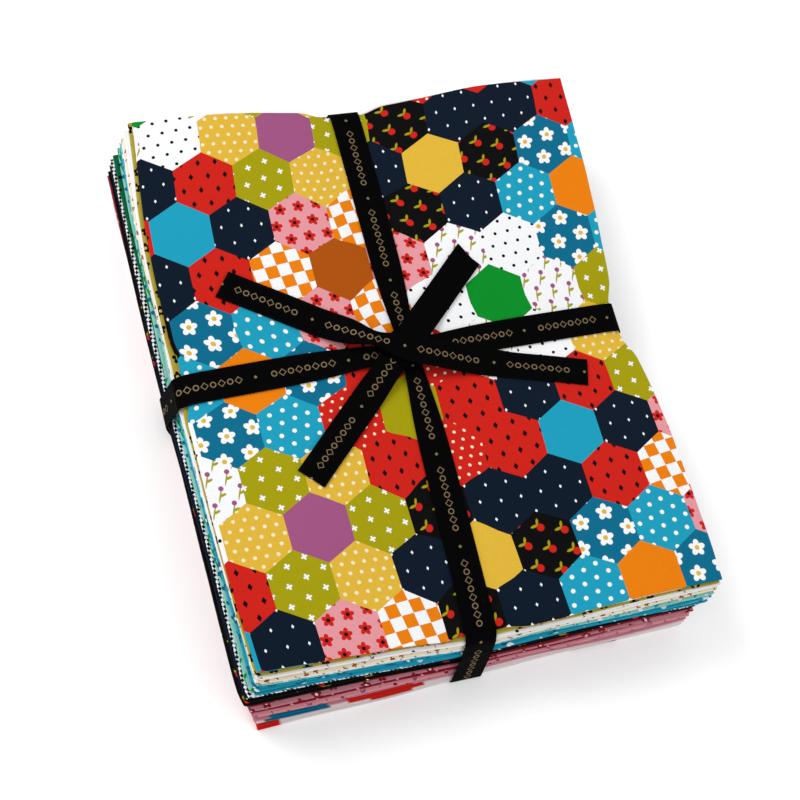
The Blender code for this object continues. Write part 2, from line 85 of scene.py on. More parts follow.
GROOVE_FLAT = 9.5  # mm of even ground on each side of a tie's middle
PUCKER_HEIGHT, PUCKER_FLAT, PUCKER_REACH = 0.34, 9.0, 40.0
EDGE_ROUNDING = 5.0 * MM  # of the stack's upper edges, where a tie goes over them
TUCK_REACH, TUCK_FADE = 22.0, 12.0  # how far beside a tie that goes, and how it fades, mm
EDGE_DROOP, EDGE_BEND = 1.1, 8.0  # how far the edges are pressed down there, and how long, mm
DROOP_REACH, DROOP_FADE = 24.0, 14.0  # how far beside a tie, and how it fades, mm
# slack waves in the upper face: height, run across, run along in mm, and start
SLACK_WAVES = ((0.42, 21.0, 33.0, 0.0), (0.25, 13.0, -17.0, 2.0))
SLACK_SINK = 0.35  # how far they lie under the even face, in all
# slack waves through the whole stack: height and runs in mm
WAVE_X, WAVE_Y, WAVE_Z = (0.40, 24.0, 5.5), (0.40, 21.0, 4.6), (0.62, 29.0, 35.0, 9.0)
# how far beside the ties the puckers and both kinds of waves begin and are at their full height, mm
PUCKERS_FREE, SLACK_FREE, WAVES_FREE = (8.6, 14.0), (9.0, 45.0), (10.0, 40.0)

# inward: 1 or -1; wander: how uneven the edge is, mm; places, bow: how far the ties draw the
# upper sheets' edge out or in at places along it, mm
Side = namedtuple("Side", "number tie inward wander places bow")
LONG, SHORT = (-139.7, -75.0, -12.0, 12.0, 75.0, 139.7), (-114.3, -17.0, 3.0, 114.3)
LEFT = Side(1, CROSSWISE, 1, 0.24, LONG, (0.0, -3.6, -4.4, -4.8, -6.0, 0.0))
RIGHT = Side(2, CROSSWISE, -1, 0.32, LONG, (0.0, -1.4, -6.8, -7.6, -3.9, -2.4))
FRONT = Side(3, LENGTHWISE, 1, 0.24, SHORT, (0.0, -2.0, -2.0, 0.0))
BACK = Side(4, LENGTHWISE, -1, 0.32, SHORT, (0.0, -2.7, -2.7, 0.0))
BOW_SOFTENING = (-14, -7, 0, 7, 14)  # mm over which the corners of a bow are rounded
BOW_FADE = 1.5  # how fast the bows fade towards the lowest sheets
CORNER_LEAST, CORNER_MORE, CORNER_SHEETS = 0.4, 0.9, 12  # rounding of the folded corner, mm
CORNER_REACH = 2.2 * MM
CUT_WAVE = 0.3  # unevenness of the cut edges inside one sheet, mm

# left, front: how far the left fold and the front fold stand out past a true stack, mm
# side, end: turn of the long and short edges, degrees; narrow, short: folded that much smaller
# slip: how far the cut edges miss each other, mm
FatQuarter = namedtuple("FatQuarter", "cloth left front side end narrow short slip")
FAT_QUARTERS = tuple(FatQuarter(*row) for row in (
    ("patchwork", 1.0, 1.3, -0.3, 0.0, 0.5, 1.0, 1.2),
    ("butter", 2.3, 1.9, 0.1, 0.0, 1.8, 0.0, 0.8),
    ("cloud", 2.0, 2.9, 0.4, 0.1, 1.4, 1.5, 1.0),
    ("blush", 3.0, 3.1, 0.5, 0.0, 2.3, 0.5, 0.6),
    ("rose", 3.3, 4.0, 0.7, 0.1, 1.8, 2.0, 1.2),
    ("cream", 3.0, 4.2, 0.8, 0.2, 0.8, 1.0, 0.7),
    ("mint", 3.6, 4.8, 0.9, 0.0, 2.4, 2.5, 1.1),
    ("teal", 3.9, 4.9, 0.6, 0.2, 0.5, 1.0, 0.9),
    ("turquoise", 3.6, 6.2, 0.7, 0.3, 1.0, 3.0, 1.3),
    ("lagoon", 5.2, 5.3, 0.6, 0.2, 0.0, 1.5, 0.6),
    ("leaf", 5.5, 5.4, 1.4, 0.3, 1.5, 3.5, 1.0),
    ("dash", 5.2, 6.1, 1.4, 0.4, 0.5, 2.0, 0.8),
    ("chalk", 7.0, 5.9, 1.4, 0.4, 2.8, 3.0, 1.2),
    ("midnight", 7.8, 5.9, 1.2, 0.5, 1.9, 4.0, 0.9),
    ("black", 8.0, 6.5, 1.25, 0.7, 1.4, 3.0, 0.7),
    ("coal", 8.9, 7.2, 1.25, 0.8, 3.4, 3.5, 1.3),
    ("crimson", 8.4, 7.4, 1.7, 0.8, 2.3, 4.5, 1.0),
    ("dusk", 7.3, 8.6, 1.8, 1.0, 3.0, 3.0, 0.8),
    ("scarlet", 7.6, 9.0, 1.7, 1.2, 4.0, 4.0, 1.1),
    ("mauve", 6.7, 9.2, 1.8, 1.2, 4.5, 2.5, 0.9),
    ("petal", 6.4, 10.1, 1.9, 1.3, 5.0, 3.5, 1.2),
    ("ocean", 5.6, 10.3, 1.8, 1.5, 5.0, 2.0, 0.7),
    ("river", 5.9, 11.0, 2.0, 1.6, 6.5, 3.0, 1.0),
    ("pearl", 5.0, 11.4, 2.1, 1.9, 7.0, 2.5, 0.8),
    ("fog", 4.2, 12.3, 2.2, 2.1, 8.0, 3.5, 1.1),
    ("cherry", 4.3, 12.7, 2.3, 2.3, 8.5, 3.0, 0.9),
))
# points across a sheet: the patchwork, the sheets right under it and all the others
PATCHWORK_POINTS, FINER, POINTS = (76, 90), {2: (56, 66), 3: (44, 52)}, (34, 40)
FOLD_POINTS = 7
CROWDING = 0.6  # how much closer the points stand to the folds and the cut edges

# ---- the ribbons
ACROSS = np.array((-1.0, -0.94, -0.7, -0.35, 0.0, 0.35, 0.7, 0.94, 1.0))
TIE_STEP, STRAND_STEP, KNOT_STEP = 2.2 * MM, 0.75 * MM, 0.9 * MM  # from one point to the next
SIDES, UPPER_SIDE = 0.020, 0.034  # above these heights a tie leaves the sides and lies on top
GATHER, GATHER_REACH = 0.40, 30.0  # how much narrower a tie is at the knot, and how far, mm
PLEAT, PLEAT_START, PLEAT_END = 0.26 * MM, 8.0, 30.0  # pleats that run from the knot
# start, end: the free ends, mm; base: height at the knot; flat, reach: how far from the knot it
# stays at that height and where it lies on the print; cut_start, cut_end: slant of the cuts, mm
# pinch: how much narrower it is where it is drawn through; fold: height of its doubled part, mm
Strand = namedtuple("Strand", "name start end base flat reach cut_start cut_end pinch fold")
STRANDS = (
    Strand("tie_ends_under", (-70.7, -57.4), (35.4, 44.4), 47.8, 8.0, 36.0, 0.0, 4.0, 0.08, 0.0),
    Strand("tie_ends_over", (-89.8, 46.1), (79.5, -25.8), 50.1, 12.0, 44.0, -1.5, 0.5, 0.46, 0.55),
)
BEND = 26.0 * MM  # how far from the knot a strand begins to turn
PINCH_PLACE, PINCH_REACH = -13.0, 9.5  # mm along a strand from the knot
FOLD_PLACE, FOLD_SLANT = -9.5 * MM, 0.75  # where the upper strand doubles over, aslant
FOLD_RISE, FOLD_FLAT, FOLD_END = 0.7 * MM, 6.0 * MM, 20.0 * MM
CURL = 0.30 * MM  # how far the middle of a free end stands up
KNOT_LENGTH, KNOT_MIDDLE = 12.6 * MM, 48.18 * MM
KNOT_HALF_HEIGHT, KNOT_SPARE = 0.60 * MM, 0.44 * MM  # spare: beside the strand on each side
KNOT_ROUNDING, KNOT_PLEAT = 0.12 * MM, 0.16 * MM

# ---- camera, floor and light
CAMERA_PLACE = (-0.26978, -0.29273, 0.81230)
CAMERA_AZIMUTH, CAMERA_ELEVATION, CAMERA_ROLL = 0.750, 1.112, 0.540
CAMERA_LENS, CAMERA_SENSOR = 81.0, 36.0
FLOOR_REACH, FLOOR_GLOW = 6.0, 0.07
SKY_LIGHT = 0.87
LAMPS = (("key", (-0.75, 0.80, 1.20), 0.80, 11.5), ("fill", (0.9, -0.9, 0.9), 1.2, 3.0))
LAMPS_AIM = Vector((0.0, 0.0, 0.02))


# ==== settings
def colour(name, words, value):
    return FloatVectorProperty(name=name, description=words, default=value, size=3, min=0.0,
                               max=1.0, subtype="COLOR")


def length(name, words, value):
    return FloatProperty(name=name, description=words, default=value, unit="LENGTH", min=0.0,
                         precision=5)


class BundleSizes(bpy.types.PropertyGroup):
    folded_width: length("Folded width", "Width of a folded fat quarter", FOLDED_WIDTH)
    folded_length: length("Folded length", "Length of a folded fat quarter", FOLDED_LENGTH)
    stack_height: length("Stack height", "Height of the stack at its corners", 0.050)
    cloth: length("Cloth", "Thickness of the cotton", 0.00027)
    sheet_gap: length("Sheet gap", "Air between two fat quarters at the corners", 0.0004)
    ribbon_width: length("Ribbon width", "Width of the ribbon round the stack", 0.0152)
    ribbon_thickness: length("Ribbon thickness", "Thickness of the ribbon", 0.00045)
    ribbon_gap: length("Ribbon gap", "Air under the ribbon", 0.00034)
    tail_width: length("Tail width", "Width of the curled free ends", 0.0146)


# each colour that a user may change: what it is and its amounts of red, green and blue
COLOURS = {
    "red": ("Red", (0.54, 0.0135, 0.0075)),
    # crimson is a dark red cloth colour made darker still with painted shade: the shade on the
    # stack's left flank is painted into it, on every print that uses it
    "crimson": ("Dark red", (0.23, 0.008, 0.018)),
    "pink": ("Pink", (0.69, 0.28, 0.31)),
    "orange": ("Orange", (0.74, 0.19, 0.002)),
    "rust": ("Brown orange", (0.37, 0.075, 0.002)),
    "golden": ("Golden yellow", (0.66, 0.41, 0.038)),
    "mustard": ("Dull yellow", (0.38, 0.30, 0.030)),
    "olive": ("Yellow green", (0.33, 0.295, 0.002)),
    "green": ("Leaf green", (0.001, 0.24, 0.018)),
    # pine is the leaf green made darker with painted shade: the shade on the stack's left flank is
    # painted into it
    "shaded_pine": ("Dark green", (0.001, 0.105, 0.035)),
    "mint": ("Pale green", (0.24, 0.56, 0.48)),
    "turquoise": ("Light blue", (0.010, 0.30, 0.45)),
    "teal": ("Blue", (0.002, 0.130, 0.235)),
    "navy": ("Dark blue", (0.002, 0.0075, 0.0185)),
    "mauve": ("Mauve", (0.31, 0.078, 0.195)),
    "dusty": ("Greyish pink", (0.50, 0.20, 0.25)),
    "grey": ("Pale grey", (0.74, 0.64, 0.65)),
    "cream": ("Cream", (0.82, 0.72, 0.52)),
    "black": ("Black", (0.0016, 0.0014, 0.0014)),
    "white": ("White", (0.82, 0.825, 0.84)),
    "ribbon": ("Black of the ribbon", (0.0012, 0.0011, 0.0011)),
    "gold": ("Gold of the marks on the ribbon", (0.20, 0.145, 0.075)),
    "floor": ("Colour of the floor", (0.95, 0.95, 0.95)),
}


class BundleColours(bpy.types.PropertyGroup):
    __annotations__ = {name: colour(name.capitalize(), words, value)
                       for name, (words, value) in COLOURS.items()}


def sizes():
    return bpy.context.scene.bundle_sizes


def pigment(name):
    return getattr(bpy.context.scene.bundle_colours, name)[:]


# ==== shader maths
def adds_node(operation, reflected=False):
    """A method that adds one Math node for a Python operator."""
    def method(self, other):
        values = (other, self) if reflected else (self, other)
        return self.surface.maths(operation, *values)
    return method


class Field:
    """A number that changes over a surface; arithmetic on it adds Math nodes."""
    __add__, __radd__ = adds_node("ADD"), adds_node("ADD", True)
    __sub__, __rsub__ = adds_node("SUBTRACT"), adds_node("SUBTRACT", True)
    __mul__, __rmul__ = adds_node("MULTIPLY"), adds_node("MULTIPLY", True)
    __truediv__, __rtruediv__ = adds_node("DIVIDE"), adds_node("DIVIDE", True)
    __mod__, __rmod__ = adds_node("FLOORED_MODULO"), adds_node("FLOORED_MODULO", True)
    __lt__, __gt__ = adds_node("LESS_THAN"), adds_node("GREATER_THAN")

    def __init__(self, surface, socket):
        self.surface = surface
        self.socket = socket

    def __abs__(self):
        return self.maths("ABSOLUTE")

    def maths(self, operation, *others, clamp=False):
        return self.surface.maths(operation, self, *others, clamp=clamp)

    def under(self, edge, soft=0.12):
        """1 where this number, in mm, is under the edge, with a short soft border."""
        return (edge - self).maths("MULTIPLY_ADD", 1.0 / soft, 0.5, clamp=True)


class Surface:
    """The nodes of one material."""

    def __init__(self, name, roughness, specular, sheen=0.0):
        self.material = bpy.data.materials.new(name)
        self.material.use_nodes = True
        self.tree = self.material.node_tree
        self.shader = self.tree.nodes["Principled BSDF"]
        self.paint("Roughness", roughness)
        self.paint("Sheen Weight", sheen)
        self.paint("Specular IOR Level", specular)

    def node(self, kind, settings, sockets):
        """Any node: its settings, then the value or link of each socket named or numbered."""
        made = self.tree.nodes.new(kind)
        for name, value in settings.items():
            setattr(made, name, value)
        for key, value in sockets.items():
            self.feed(made.inputs[key], value)
        return made

    def feed(self, socket, value):
        if isinstance(value, Field):
            value = value.socket
        if isinstance(value, bpy.types.NodeSocket):
            self.tree.links.new(value, socket)
        elif socket.type == "RGBA" and len(value) == 3:
            socket.default_value = (*value, 1.0)
        else:
            socket.default_value = value

    def paint(self, socket, value):
        self.feed(self.shader.inputs[socket], value)

    def maths(self, operation, *values, clamp=False):
        settings = {"operation": operation, "use_clamp": clamp}
        made = self.node("ShaderNodeMath", settings, dict(enumerate(values)))
        return Field(self, made.outputs[0])

    def mix(self, factor, first, second):
        """A colour between two others."""
        made = self.node("ShaderNodeMix", {"data_type": "RGBA"}, {0: factor, 6: first, 7: second})
        return made.outputs[2]

    def place(self, attribute):
        """The three numbers that each point of the mesh carries under this name."""
        made = self.node("ShaderNodeAttribute", {"attribute_name": attribute}, {})
        parts = self.node("ShaderNodeSeparateXYZ", {}, {"Vector": made.outputs["Vector"]})
        return [Field(self, output) for output in parts.outputs]

    def noise(self, x, y, scale):
        point = self.node("ShaderNodeCombineXYZ", {}, {"X": x, "Y": y})
        sockets = {"Vector": point.outputs[0], "Scale": scale, "Detail": 2.0}
        return Field(self, self.node("ShaderNodeTexNoise", {}, sockets).outputs[0])

    def bump(self, height, distance):
        sockets = {"Height": height, "Strength": 1.0, "Distance": distance}
        made = self.node("ShaderNodeBump", {}, sockets)
        self.paint("Normal", made.outputs[0])


def hypot(x, y):
    return (x * x + y * y).maths("SQRT")


def turned(x, y, degrees):
    c, s = math.cos(math.radians(degrees)), math.sin(math.radians(degrees))
    return x * c + y * s, y * c - x * s


def from_nearest(value, pitch):
    return value - (value / pitch).maths("ROUND") * pitch


def hex_cell(x, y, across):
    """The place inside the nearest hexagon, and that hexagon's middle."""
    rise = across * math.sqrt(3)
    ax, ay = from_nearest(x, across), from_nearest(y, rise)
    bx, by = from_nearest(x - across / 2, across), from_nearest(y - rise / 2, rise)
    first = (ax * ax + ay * ay) < (bx * bx + by * by)
    in_x, in_y = bx + first * (ax - bx), by + first * (ay - by)
    return in_x, in_y, x - in_x, y - in_y


def ellipse(x, y, place, half, degrees):
    """Cover of a leaf shape with these half lengths, turned about its middle."""
    along, aside = turned(x - place[0], y - place[1], degrees)
    return hypot(along / half[0], aside / half[1]).under(1.0, 0.2 / half[1])


# ==== motifs
# each takes the place and the row of a print, and gives its colours with the cover of each, in
# the order in which they are printed; most stand in the middle of a hexagonal cell
def dots(x, y, row):
    return [("mark", hypot(x, y).under(row.size / 2))]


def pips(x, y, row):
    return [("mark", (abs(x) * 1.5 + abs(y)).under(row.size * 0.75))]


def crosses(x, y, row):
    arm_x, arm_y = abs(x), abs(y)
    long, thin = arm_x.maths("MAXIMUM", arm_y), arm_x.maths("MINIMUM", arm_y)
    return [("mark", long.under(row.size / 2) * thin.under(row.size * 0.16))]


def dashes(x, y, row):
    along, aside = turned(x, y, 35)
    return [("mark", abs(along).under(row.size * 0.8) * abs(aside).under(row.size * 0.22))]


def blossoms(x, y, row):
    out, turn = hypot(x, y), y.maths("ARCTAN2", x)
    petal = abs((turn * 2.5).maths("COSINE")) * (row.size * 0.45) + row.size * 0.60
    return [("mark", out.under(petal)), ("second", out.under(row.size * 0.30))]


def berries(x, y, row):
    size = row.size
    leaf = ellipse(x, y, (-size * 0.55, size * 0.95), (size * 0.7, size * 0.26), 150)
    other = ellipse(x, y, (size * 0.5, size), (size * 0.6, size * 0.24), 35)
    fruit = hypot(x, y + size * 0.1).under(size * 0.72)
    return [("second", leaf.maths("MAXIMUM", other)), ("mark", fruit)]


def sprigs(x, y, row):
    size = row.size
    stem = ellipse(x, y, (0.0, -size * 0.3), (size, size * 0.12), 70)
    leaf = ellipse(x, y, (size * 0.4, -size * 0.2), (size * 0.5, size * 0.2), 20)
    bud = hypot(x - size * 0.3, y - size * 0.75).under(size * 0.36)
    return [("second", stem.maths("MAXIMUM", leaf)), ("mark", bud)]


def splashes(x, y, row):
    """A large round patch of each colour, the second one pitch further on."""
    near = hypot(x, y * 0.6).under(row.size, 1.5)
    far = hypot(x - row.pitch, y * 0.6).under(row.size * 1.2, 1.5)
    return [("mark", near), ("second", far)]


def checks(x, y, row):
    across, along = ((place / row.pitch).maths("FLOOR") for place in (x, y))
    return [("mark", (across + along) % 2.0)]


# ==== prints
# turn: of the print on the cloth, degrees; pitch, size: of the motif, mm; second: its other
# colour; mirror: of a large print that is the same on both halves of the cloth, its distance
# from the fold, mm
Print = namedtuple("Print", "motif ground mark turn pitch size second mirror",
                   defaults=(0.0, "", 0.0))

# the sheets below the first
PRINTS = {
    "butter": Print(blossoms, "mustard", "black", 17, 9.0, 2.6, "golden"),
    "cloud": Print(sprigs, "white", "navy", 24, 12.0, 2.2, "mauve"),
    "blush": Print(dots, "white", "pink", 31, 9.0, 1.6),
    "rose": Print(crosses, "cream", "rust", 12, 5.0, 2.6),
    "cream": Print(dashes, "white", "dusty", 40, 7.0, 2.4),
    "mint": Print(sprigs, "mint", "white", 21, 8.0, 3.2, "turquoise"),
    "teal": Print(blossoms, "turquoise", "teal", 13, 9.0, 3.0, "white"),
    "turquoise": Print(berries, "turquoise", "white", 27, 13.0, 2.4, "teal"),
    "lagoon": Print(sprigs, "mint", "teal", 35, 7.0, 3.4, "green"),
    # its dark green ground carries painted shade of the stack's left flank
    "leaf": Print(dots, "shaded_pine", "black", 19, 7.0, 2.0),
    "dash": Print(dashes, "turquoise", "white", 26, 9.0, 2.2),
    "chalk": Print(checks, "white", "black", 33, 1.5),
    "midnight": Print(dots, "navy", "white", 33, 13.0, 1.2),
    "black": Print(berries, "black", "red", 22, 14.0, 2.2, "olive"),
    "coal": Print(dots, "black", "white", 11, 13.0, 0.9),
    # its dark red ground carries painted shade of the stack's left flank
    "crimson": Print(dots, "crimson", "pink", 29, 8.0, 1.0),
    "dusk": Print(blossoms, "dusty", "crimson", 16, 9.0, 2.4, "white"),
    "scarlet": Print(dots, "crimson", "pink", 38, 4.6, 1.3),
    "mauve": Print(crosses, "dusty", "mauve", 25, 9.0, 2.4),
    "petal": Print(sprigs, "pink", "crimson", 20, 10.0, 3.0, "mauve"),
    "ocean": Print(sprigs, "dusty", "crimson", 15, 12.0, 3.0, "mauve"),
    "river": Print(splashes, "dusty", "teal", 3, 40.0, 14.0, "red", 22.0),
    "pearl": Print(splashes, "grey", "teal", 2, 44.0, 16.0, "red", 20.0),
    "fog": Print(splashes, "grey", "red", 3, 64.0, 9.0, "red", 2.0),
    "cherry": Print(splashes, "grey", "red", 2, 172.0, 11.0, "crimson", 0.5),
}

# the cloths of the patchwork
PATCHES = {
    "olive_crosses": Print(crosses, "olive", "white", 20, 9.5, 3.0),
    "golden_dots": Print(dots, "golden", "cream", 0, 5.4, 1.8),
    "black_berries": Print(berries, "black", "red", 40, 11.5, 2.6, "olive"),
    "navy_pips": Print(pips, "navy", "white", 0, 10.0, 1.3),
    "teal_blossoms": Print(blossoms, "teal", "white", 12, 13.0, 4.0, "golden"),
    "turquoise_dots": Print(dots, "turquoise", "white", 15, 6.8, 2.2),
    "red_pips": Print(pips, "red", "black", 0, 8.5, 2.4),
    "red_dots": Print(dots, "red", "cream", 10, 5.0, 1.5),
    "white_sprigs": Print(sprigs, "white", "mauve", 0, 9.0, 3.4, "olive"),
    "white_dots": Print(dots, "white", "black", 6, 7.0, 1.7),
    "pink_blossoms": Print(blossoms, "pink", "red", 8, 9.6, 3.0, "black"),
    "orange_checks": Print(checks, "orange", "white", 8, 6.2),
}

# each rosette of the patchwork: its middle patch and the two cloths that take turns round it
ROSETTES = (
    ("mauve", "olive_crosses", "golden_dots"),
    ("golden", "black_berries", "navy_pips"),
    ("orange", "teal_blossoms", "turquoise_dots"),
    ("olive", "red_pips", "red_dots"),
    ("turquoise", "navy_pips", "red_pips"),
    ("rust", "pink_blossoms", "orange_checks"),
    ("green", "white_sprigs", "white_dots"),
)
ROSETTE_STEP = 3.0  # how many kinds further on the next row of rosettes begins
HEXAGON_ACROSS = 29.7  # mm between two flat sides of a patch
GRID_START = (47.0, 61.0)  # mm from the folds to the middle of a patch


def print_colour(surface, x, y, row):
    """Colour of a print at a place on the cloth, in mm."""
    if row.mirror:
        x = abs(x) - row.mirror
    x, y = turned(x, y, row.turn)
    if row.motif not in (checks, splashes):
        x, y = hex_cell(x, y, row.pitch)[:2]
    printed = pigment(row.ground)
    for which, cover in row.motif(x, y, row):
        printed = surface.mix(cover, printed, pigment(getattr(row, which)))
    return printed


def rosette_at(x, y):
    """For a place on the patchwork: in an outer patch or not, of the second cloth or not, and
    the number of its rosette."""
    mid_x, mid_y = hex_cell(x, y, HEXAGON_ACROSS)[2:]
    lean = -math.atan(math.sqrt(3) / 5)
    spread = HEXAGON_ACROSS * math.sqrt(7)
    from_x, from_y, at_x, at_y = hex_cell(*turned(mid_x, mid_y, math.degrees(lean)), spread)
    outer = hypot(from_x, from_y) > HEXAGON_ACROSS / 2
    sixths = from_y.maths("ARCTAN2", from_x) * (3 / math.pi) + lean * (3 / math.pi)
    row = (at_y / (spread * math.sqrt(3) / 2)).maths("ROUND")
    column = (at_x / spread - row / 2).maths("ROUND")
    kind = (column + row * ROSETTE_STEP) % float(len(ROSETTES))
    return outer, sixths.maths("ROUND") % 2.0, kind.maths("ROUND")


def patchwork_colour(surface, x, y):
    """Rosettes of hexagon patches, six round one, the two outer cloths taking turns."""
    x, y = x - GRID_START[0], y - GRID_START[1]
    outer, takes_turn, kind = rosette_at(x, y)
    cloths = {name: print_colour(surface, x, y, patch) for name, patch in PATCHES.items()}
    patches = pigment("white")
    for number, (middle, first, second) in enumerate(ROSETTES):
        ring = surface.mix(takes_turn, cloths[first], cloths[second])
        rosette = surface.mix(outer, pigment(middle), ring)
        here = kind.maths("COMPARE", float(number), 0.5)
        patches = surface.mix(here, patches, rosette)
    return patches


# ==== cloth and ribbon materials
THREAD_PITCH, THREAD_HEIGHT = 0.42, 0.03 * MM
SLUB_FINE, SLUB_LONG, SLUB_SHADE = 2.2, 0.25, 0.12  # of uneven threads, across and along, per mm
WRONG_SIDE_PALE = 0.72  # how much paler the print's other side is
RIB_PITCH, RIB_HEIGHT, SELVAGE, SELVAGE_SOFT = 0.55, 0.05 * MM, 6.9, 0.4
RUN_PITCH, RUN_START, RUN_END = 46.0, 6.1, 39.0  # of a run of gold marks, mm
MARK_PITCH, RING, LOZENGE, LINE, DOT = 8.2, 1.25, 1.7, 0.26, 0.9  # of the marks in it, mm
WORN_BLACK = (0.0035, 0.0033, 0.0033)


def cotton(name, paint, *rows):
    """Plain woven cotton, printed on one side; rows says more to paint, which prints it."""
    surface = Surface(name, roughness=0.85, specular=0.07, sheen=0.015)
    x, y, wrong_side = surface.place("cloth_place")
    x, y = x / MM, y / MM
    printed = paint(surface, x, y, *rows)
    pale = surface.mix(WRONG_SIDE_PALE, printed, pigment("white"))
    face = surface.mix(wrong_side > 0.5, printed, pale)
    slub = (surface.noise(x * SLUB_LONG, y * SLUB_FINE, 1.0)
            + surface.noise(x * SLUB_FINE, y * SLUB_LONG, 1.0))
    shade = (slub - 0.75) * SLUB_SHADE
    surface.paint("Base Color", surface.mix(shade, face, (0.0, 0.0, 0.0)))
    warp, weft = ((place * (2 * math.pi / THREAD_PITCH)).maths("SINE") for place in (x, y))
    surface.bump(warp * weft + slub * 1.4, THREAD_HEIGHT)
    return surface.material


def gold_marks(along, aside):
    """Small rings and lozenges in turn down the middle of a ribbon, with gaps between runs."""
    spot = along % RUN_PITCH
    ring = abs(hypot(from_nearest(spot - MARK_PITCH / 2, MARK_PITCH), aside) - RING)
    lozenge = abs(abs(from_nearest(spot, MARK_PITCH)) + abs(aside) - LOZENGE)
    outline = ring.maths("MINIMUM", lozenge).under(LINE)
    run = (spot > RUN_START) * (spot < RUN_END)
    dot = (abs(from_nearest(along, RUN_PITCH)) + abs(aside)).under(DOT)
    return (outline * run).maths("MAXIMUM", dot)


def satin(name, marked):
    """Black woven ribbon; marked says which lengths of it carry the gold marks."""
    surface = Surface(name, roughness=0.5, specular=0.5)
    surface.paint("IOR", 1.04)
    along, aside, upper = surface.place("ribbon_place")
    along, aside = along / MM, aside / MM
    if marked == "nowhere":
        surface.paint("Base Color", pigment("ribbon"))
    else:
        gold = gold_marks(along, aside)
        if marked == "one half":
            gold = gold * (upper < 0.5)
        worn = surface.noise(along, aside * 3.0, 1.4) * 0.5
        black = surface.mix(worn, pigment("ribbon"), WORN_BLACK)
        surface.paint("Base Color", surface.mix(gold, black, pigment("gold")))
        surface.paint("Metallic", gold * 0.5)
    rib = (along * (2 * math.pi / RIB_PITCH)).maths("SINE")
    inside = abs(aside).under(SELVAGE, SELVAGE_SOFT)
    surface.bump(rib * 0.35 * inside - inside, RIB_HEIGHT)
    return surface.material


# ==== the shape of the stack
def middle_of(tie, place):
    """How far a tie's middle line is from the stack's at a place along it."""
    return tie.offset + tie.slant * place


def beside_ties(x, y):
    """Each tie with the place along it and the distance from its middle line."""
    return ((LENGTHWISE, y, x - middle_of(LENGTHWISE, y)),
            (CROSSWISE, x, y - middle_of(CROSSWISE, x)))


def from_above(tie, place, aside):
    """x and y of a place along a tie and a place across it."""
    return (aside, place) if tie.lengthwise else (place, aside)


def fall_off(distance, flat, reach):
    """1 out to flat mm, then straight down to 0 at reach mm."""
    return np.clip((reach - np.abs(distance) / MM) / (reach - flat), 0.0, 1.0)


def ease(share):
    """0 to 1 with a soft start and end."""
    share = np.clip(share, 0.0, 1.0)
    return share * share * (3 - 2 * share)


def free_of_ties(x, y, start, reach):
    """0 under the ties, 1 further than reach mm from both."""
    nearest = np.minimum(*(np.abs(off) for _, _, off in beside_ties(x, y))) / MM
    return ease((nearest - start) / (reach - start))


def droop(tie, place, off):
    """How far the stack's edge is pressed down under the bend of a tie, mm."""
    inside = np.minimum(place / MM - tie.ends[0], tie.ends[1] - place / MM)
    bend = np.clip(1.0 - inside / EDGE_BEND, 0.0, 1.0) ** 2
    return EDGE_DROOP * bend * ease((DROOP_REACH - np.abs(off) / MM) / DROOP_FADE)


def drawn_down(tie, place, off):
    """How far a tie draws the upper face down, mm."""
    share = place / tie.half
    depth = tie.depth + tie.deeper * share ** 2 + tie.lean * share
    return depth * fall_off(off, GROOVE_FLAT, tie.reach) ** 2


def puckers(tie, place, off):
    """Small gathers in the cloth beside a tie, mm."""
    run, start, swing, slow = tie.puckers
    waves = np.sin(place / MM / run + start + swing * np.sin(place / MM / slow))
    return PUCKER_HEIGHT * waves * fall_off(off, PUCKER_FLAT, PUCKER_REACH) ** 2


def top_height(x, y):
    """Height of the stack's upper face, drawn down under both ties and full between them."""
    ties = beside_ties(x, y)
    dip = sum(drawn_down(*tie) ** 4 for tie in ties) ** 0.25 + sum(droop(*tie) for tie in ties)
    gathers = sum(puckers(*tie) for tie in ties) * free_of_ties(x, y, *PUCKERS_FREE)
    slack = sum(height * np.sin(x / MM / across + y / MM / along + start)
                for height, across, along, start in SLACK_WAVES)
    slack = slack * free_of_ties(x, y, *SLACK_FREE) - SLACK_SINK
    return sizes().stack_height - (dip + gathers - slack) * MM


def settle(x, y, height, number):
    """Height in the tied stack of a point of the loose one, the ribbons below holding it up."""
    lowest = number == len(FAT_QUARTERS)
    steps = sum(fall_off(off, tie.lift[0], tie.lift[2 if lowest else 1])
                for tie, _, off in beside_ties(x, y))
    floor = (1.0 if lowest else LIFT_MORE) * steps * LIFT_STEP
    return floor + height / sizes().stack_height * (top_height(x, y) - floor)


def wander(number, side, place):
    """A small uneven run of an edge, its own for each sheet."""
    phase = 6.283 * ((number * 0.618 + side.number * 0.377) % 1.0)
    slow = np.sin(place / MM / (27.0 + 3 * side.number) + phase)
    quick = 0.45 * np.sin(place / MM / 11.3 + 2.3 * phase) + 0.2 * np.sin(place / MM / 4.7 + phase)
    return side.wander * (slow + quick) * MM


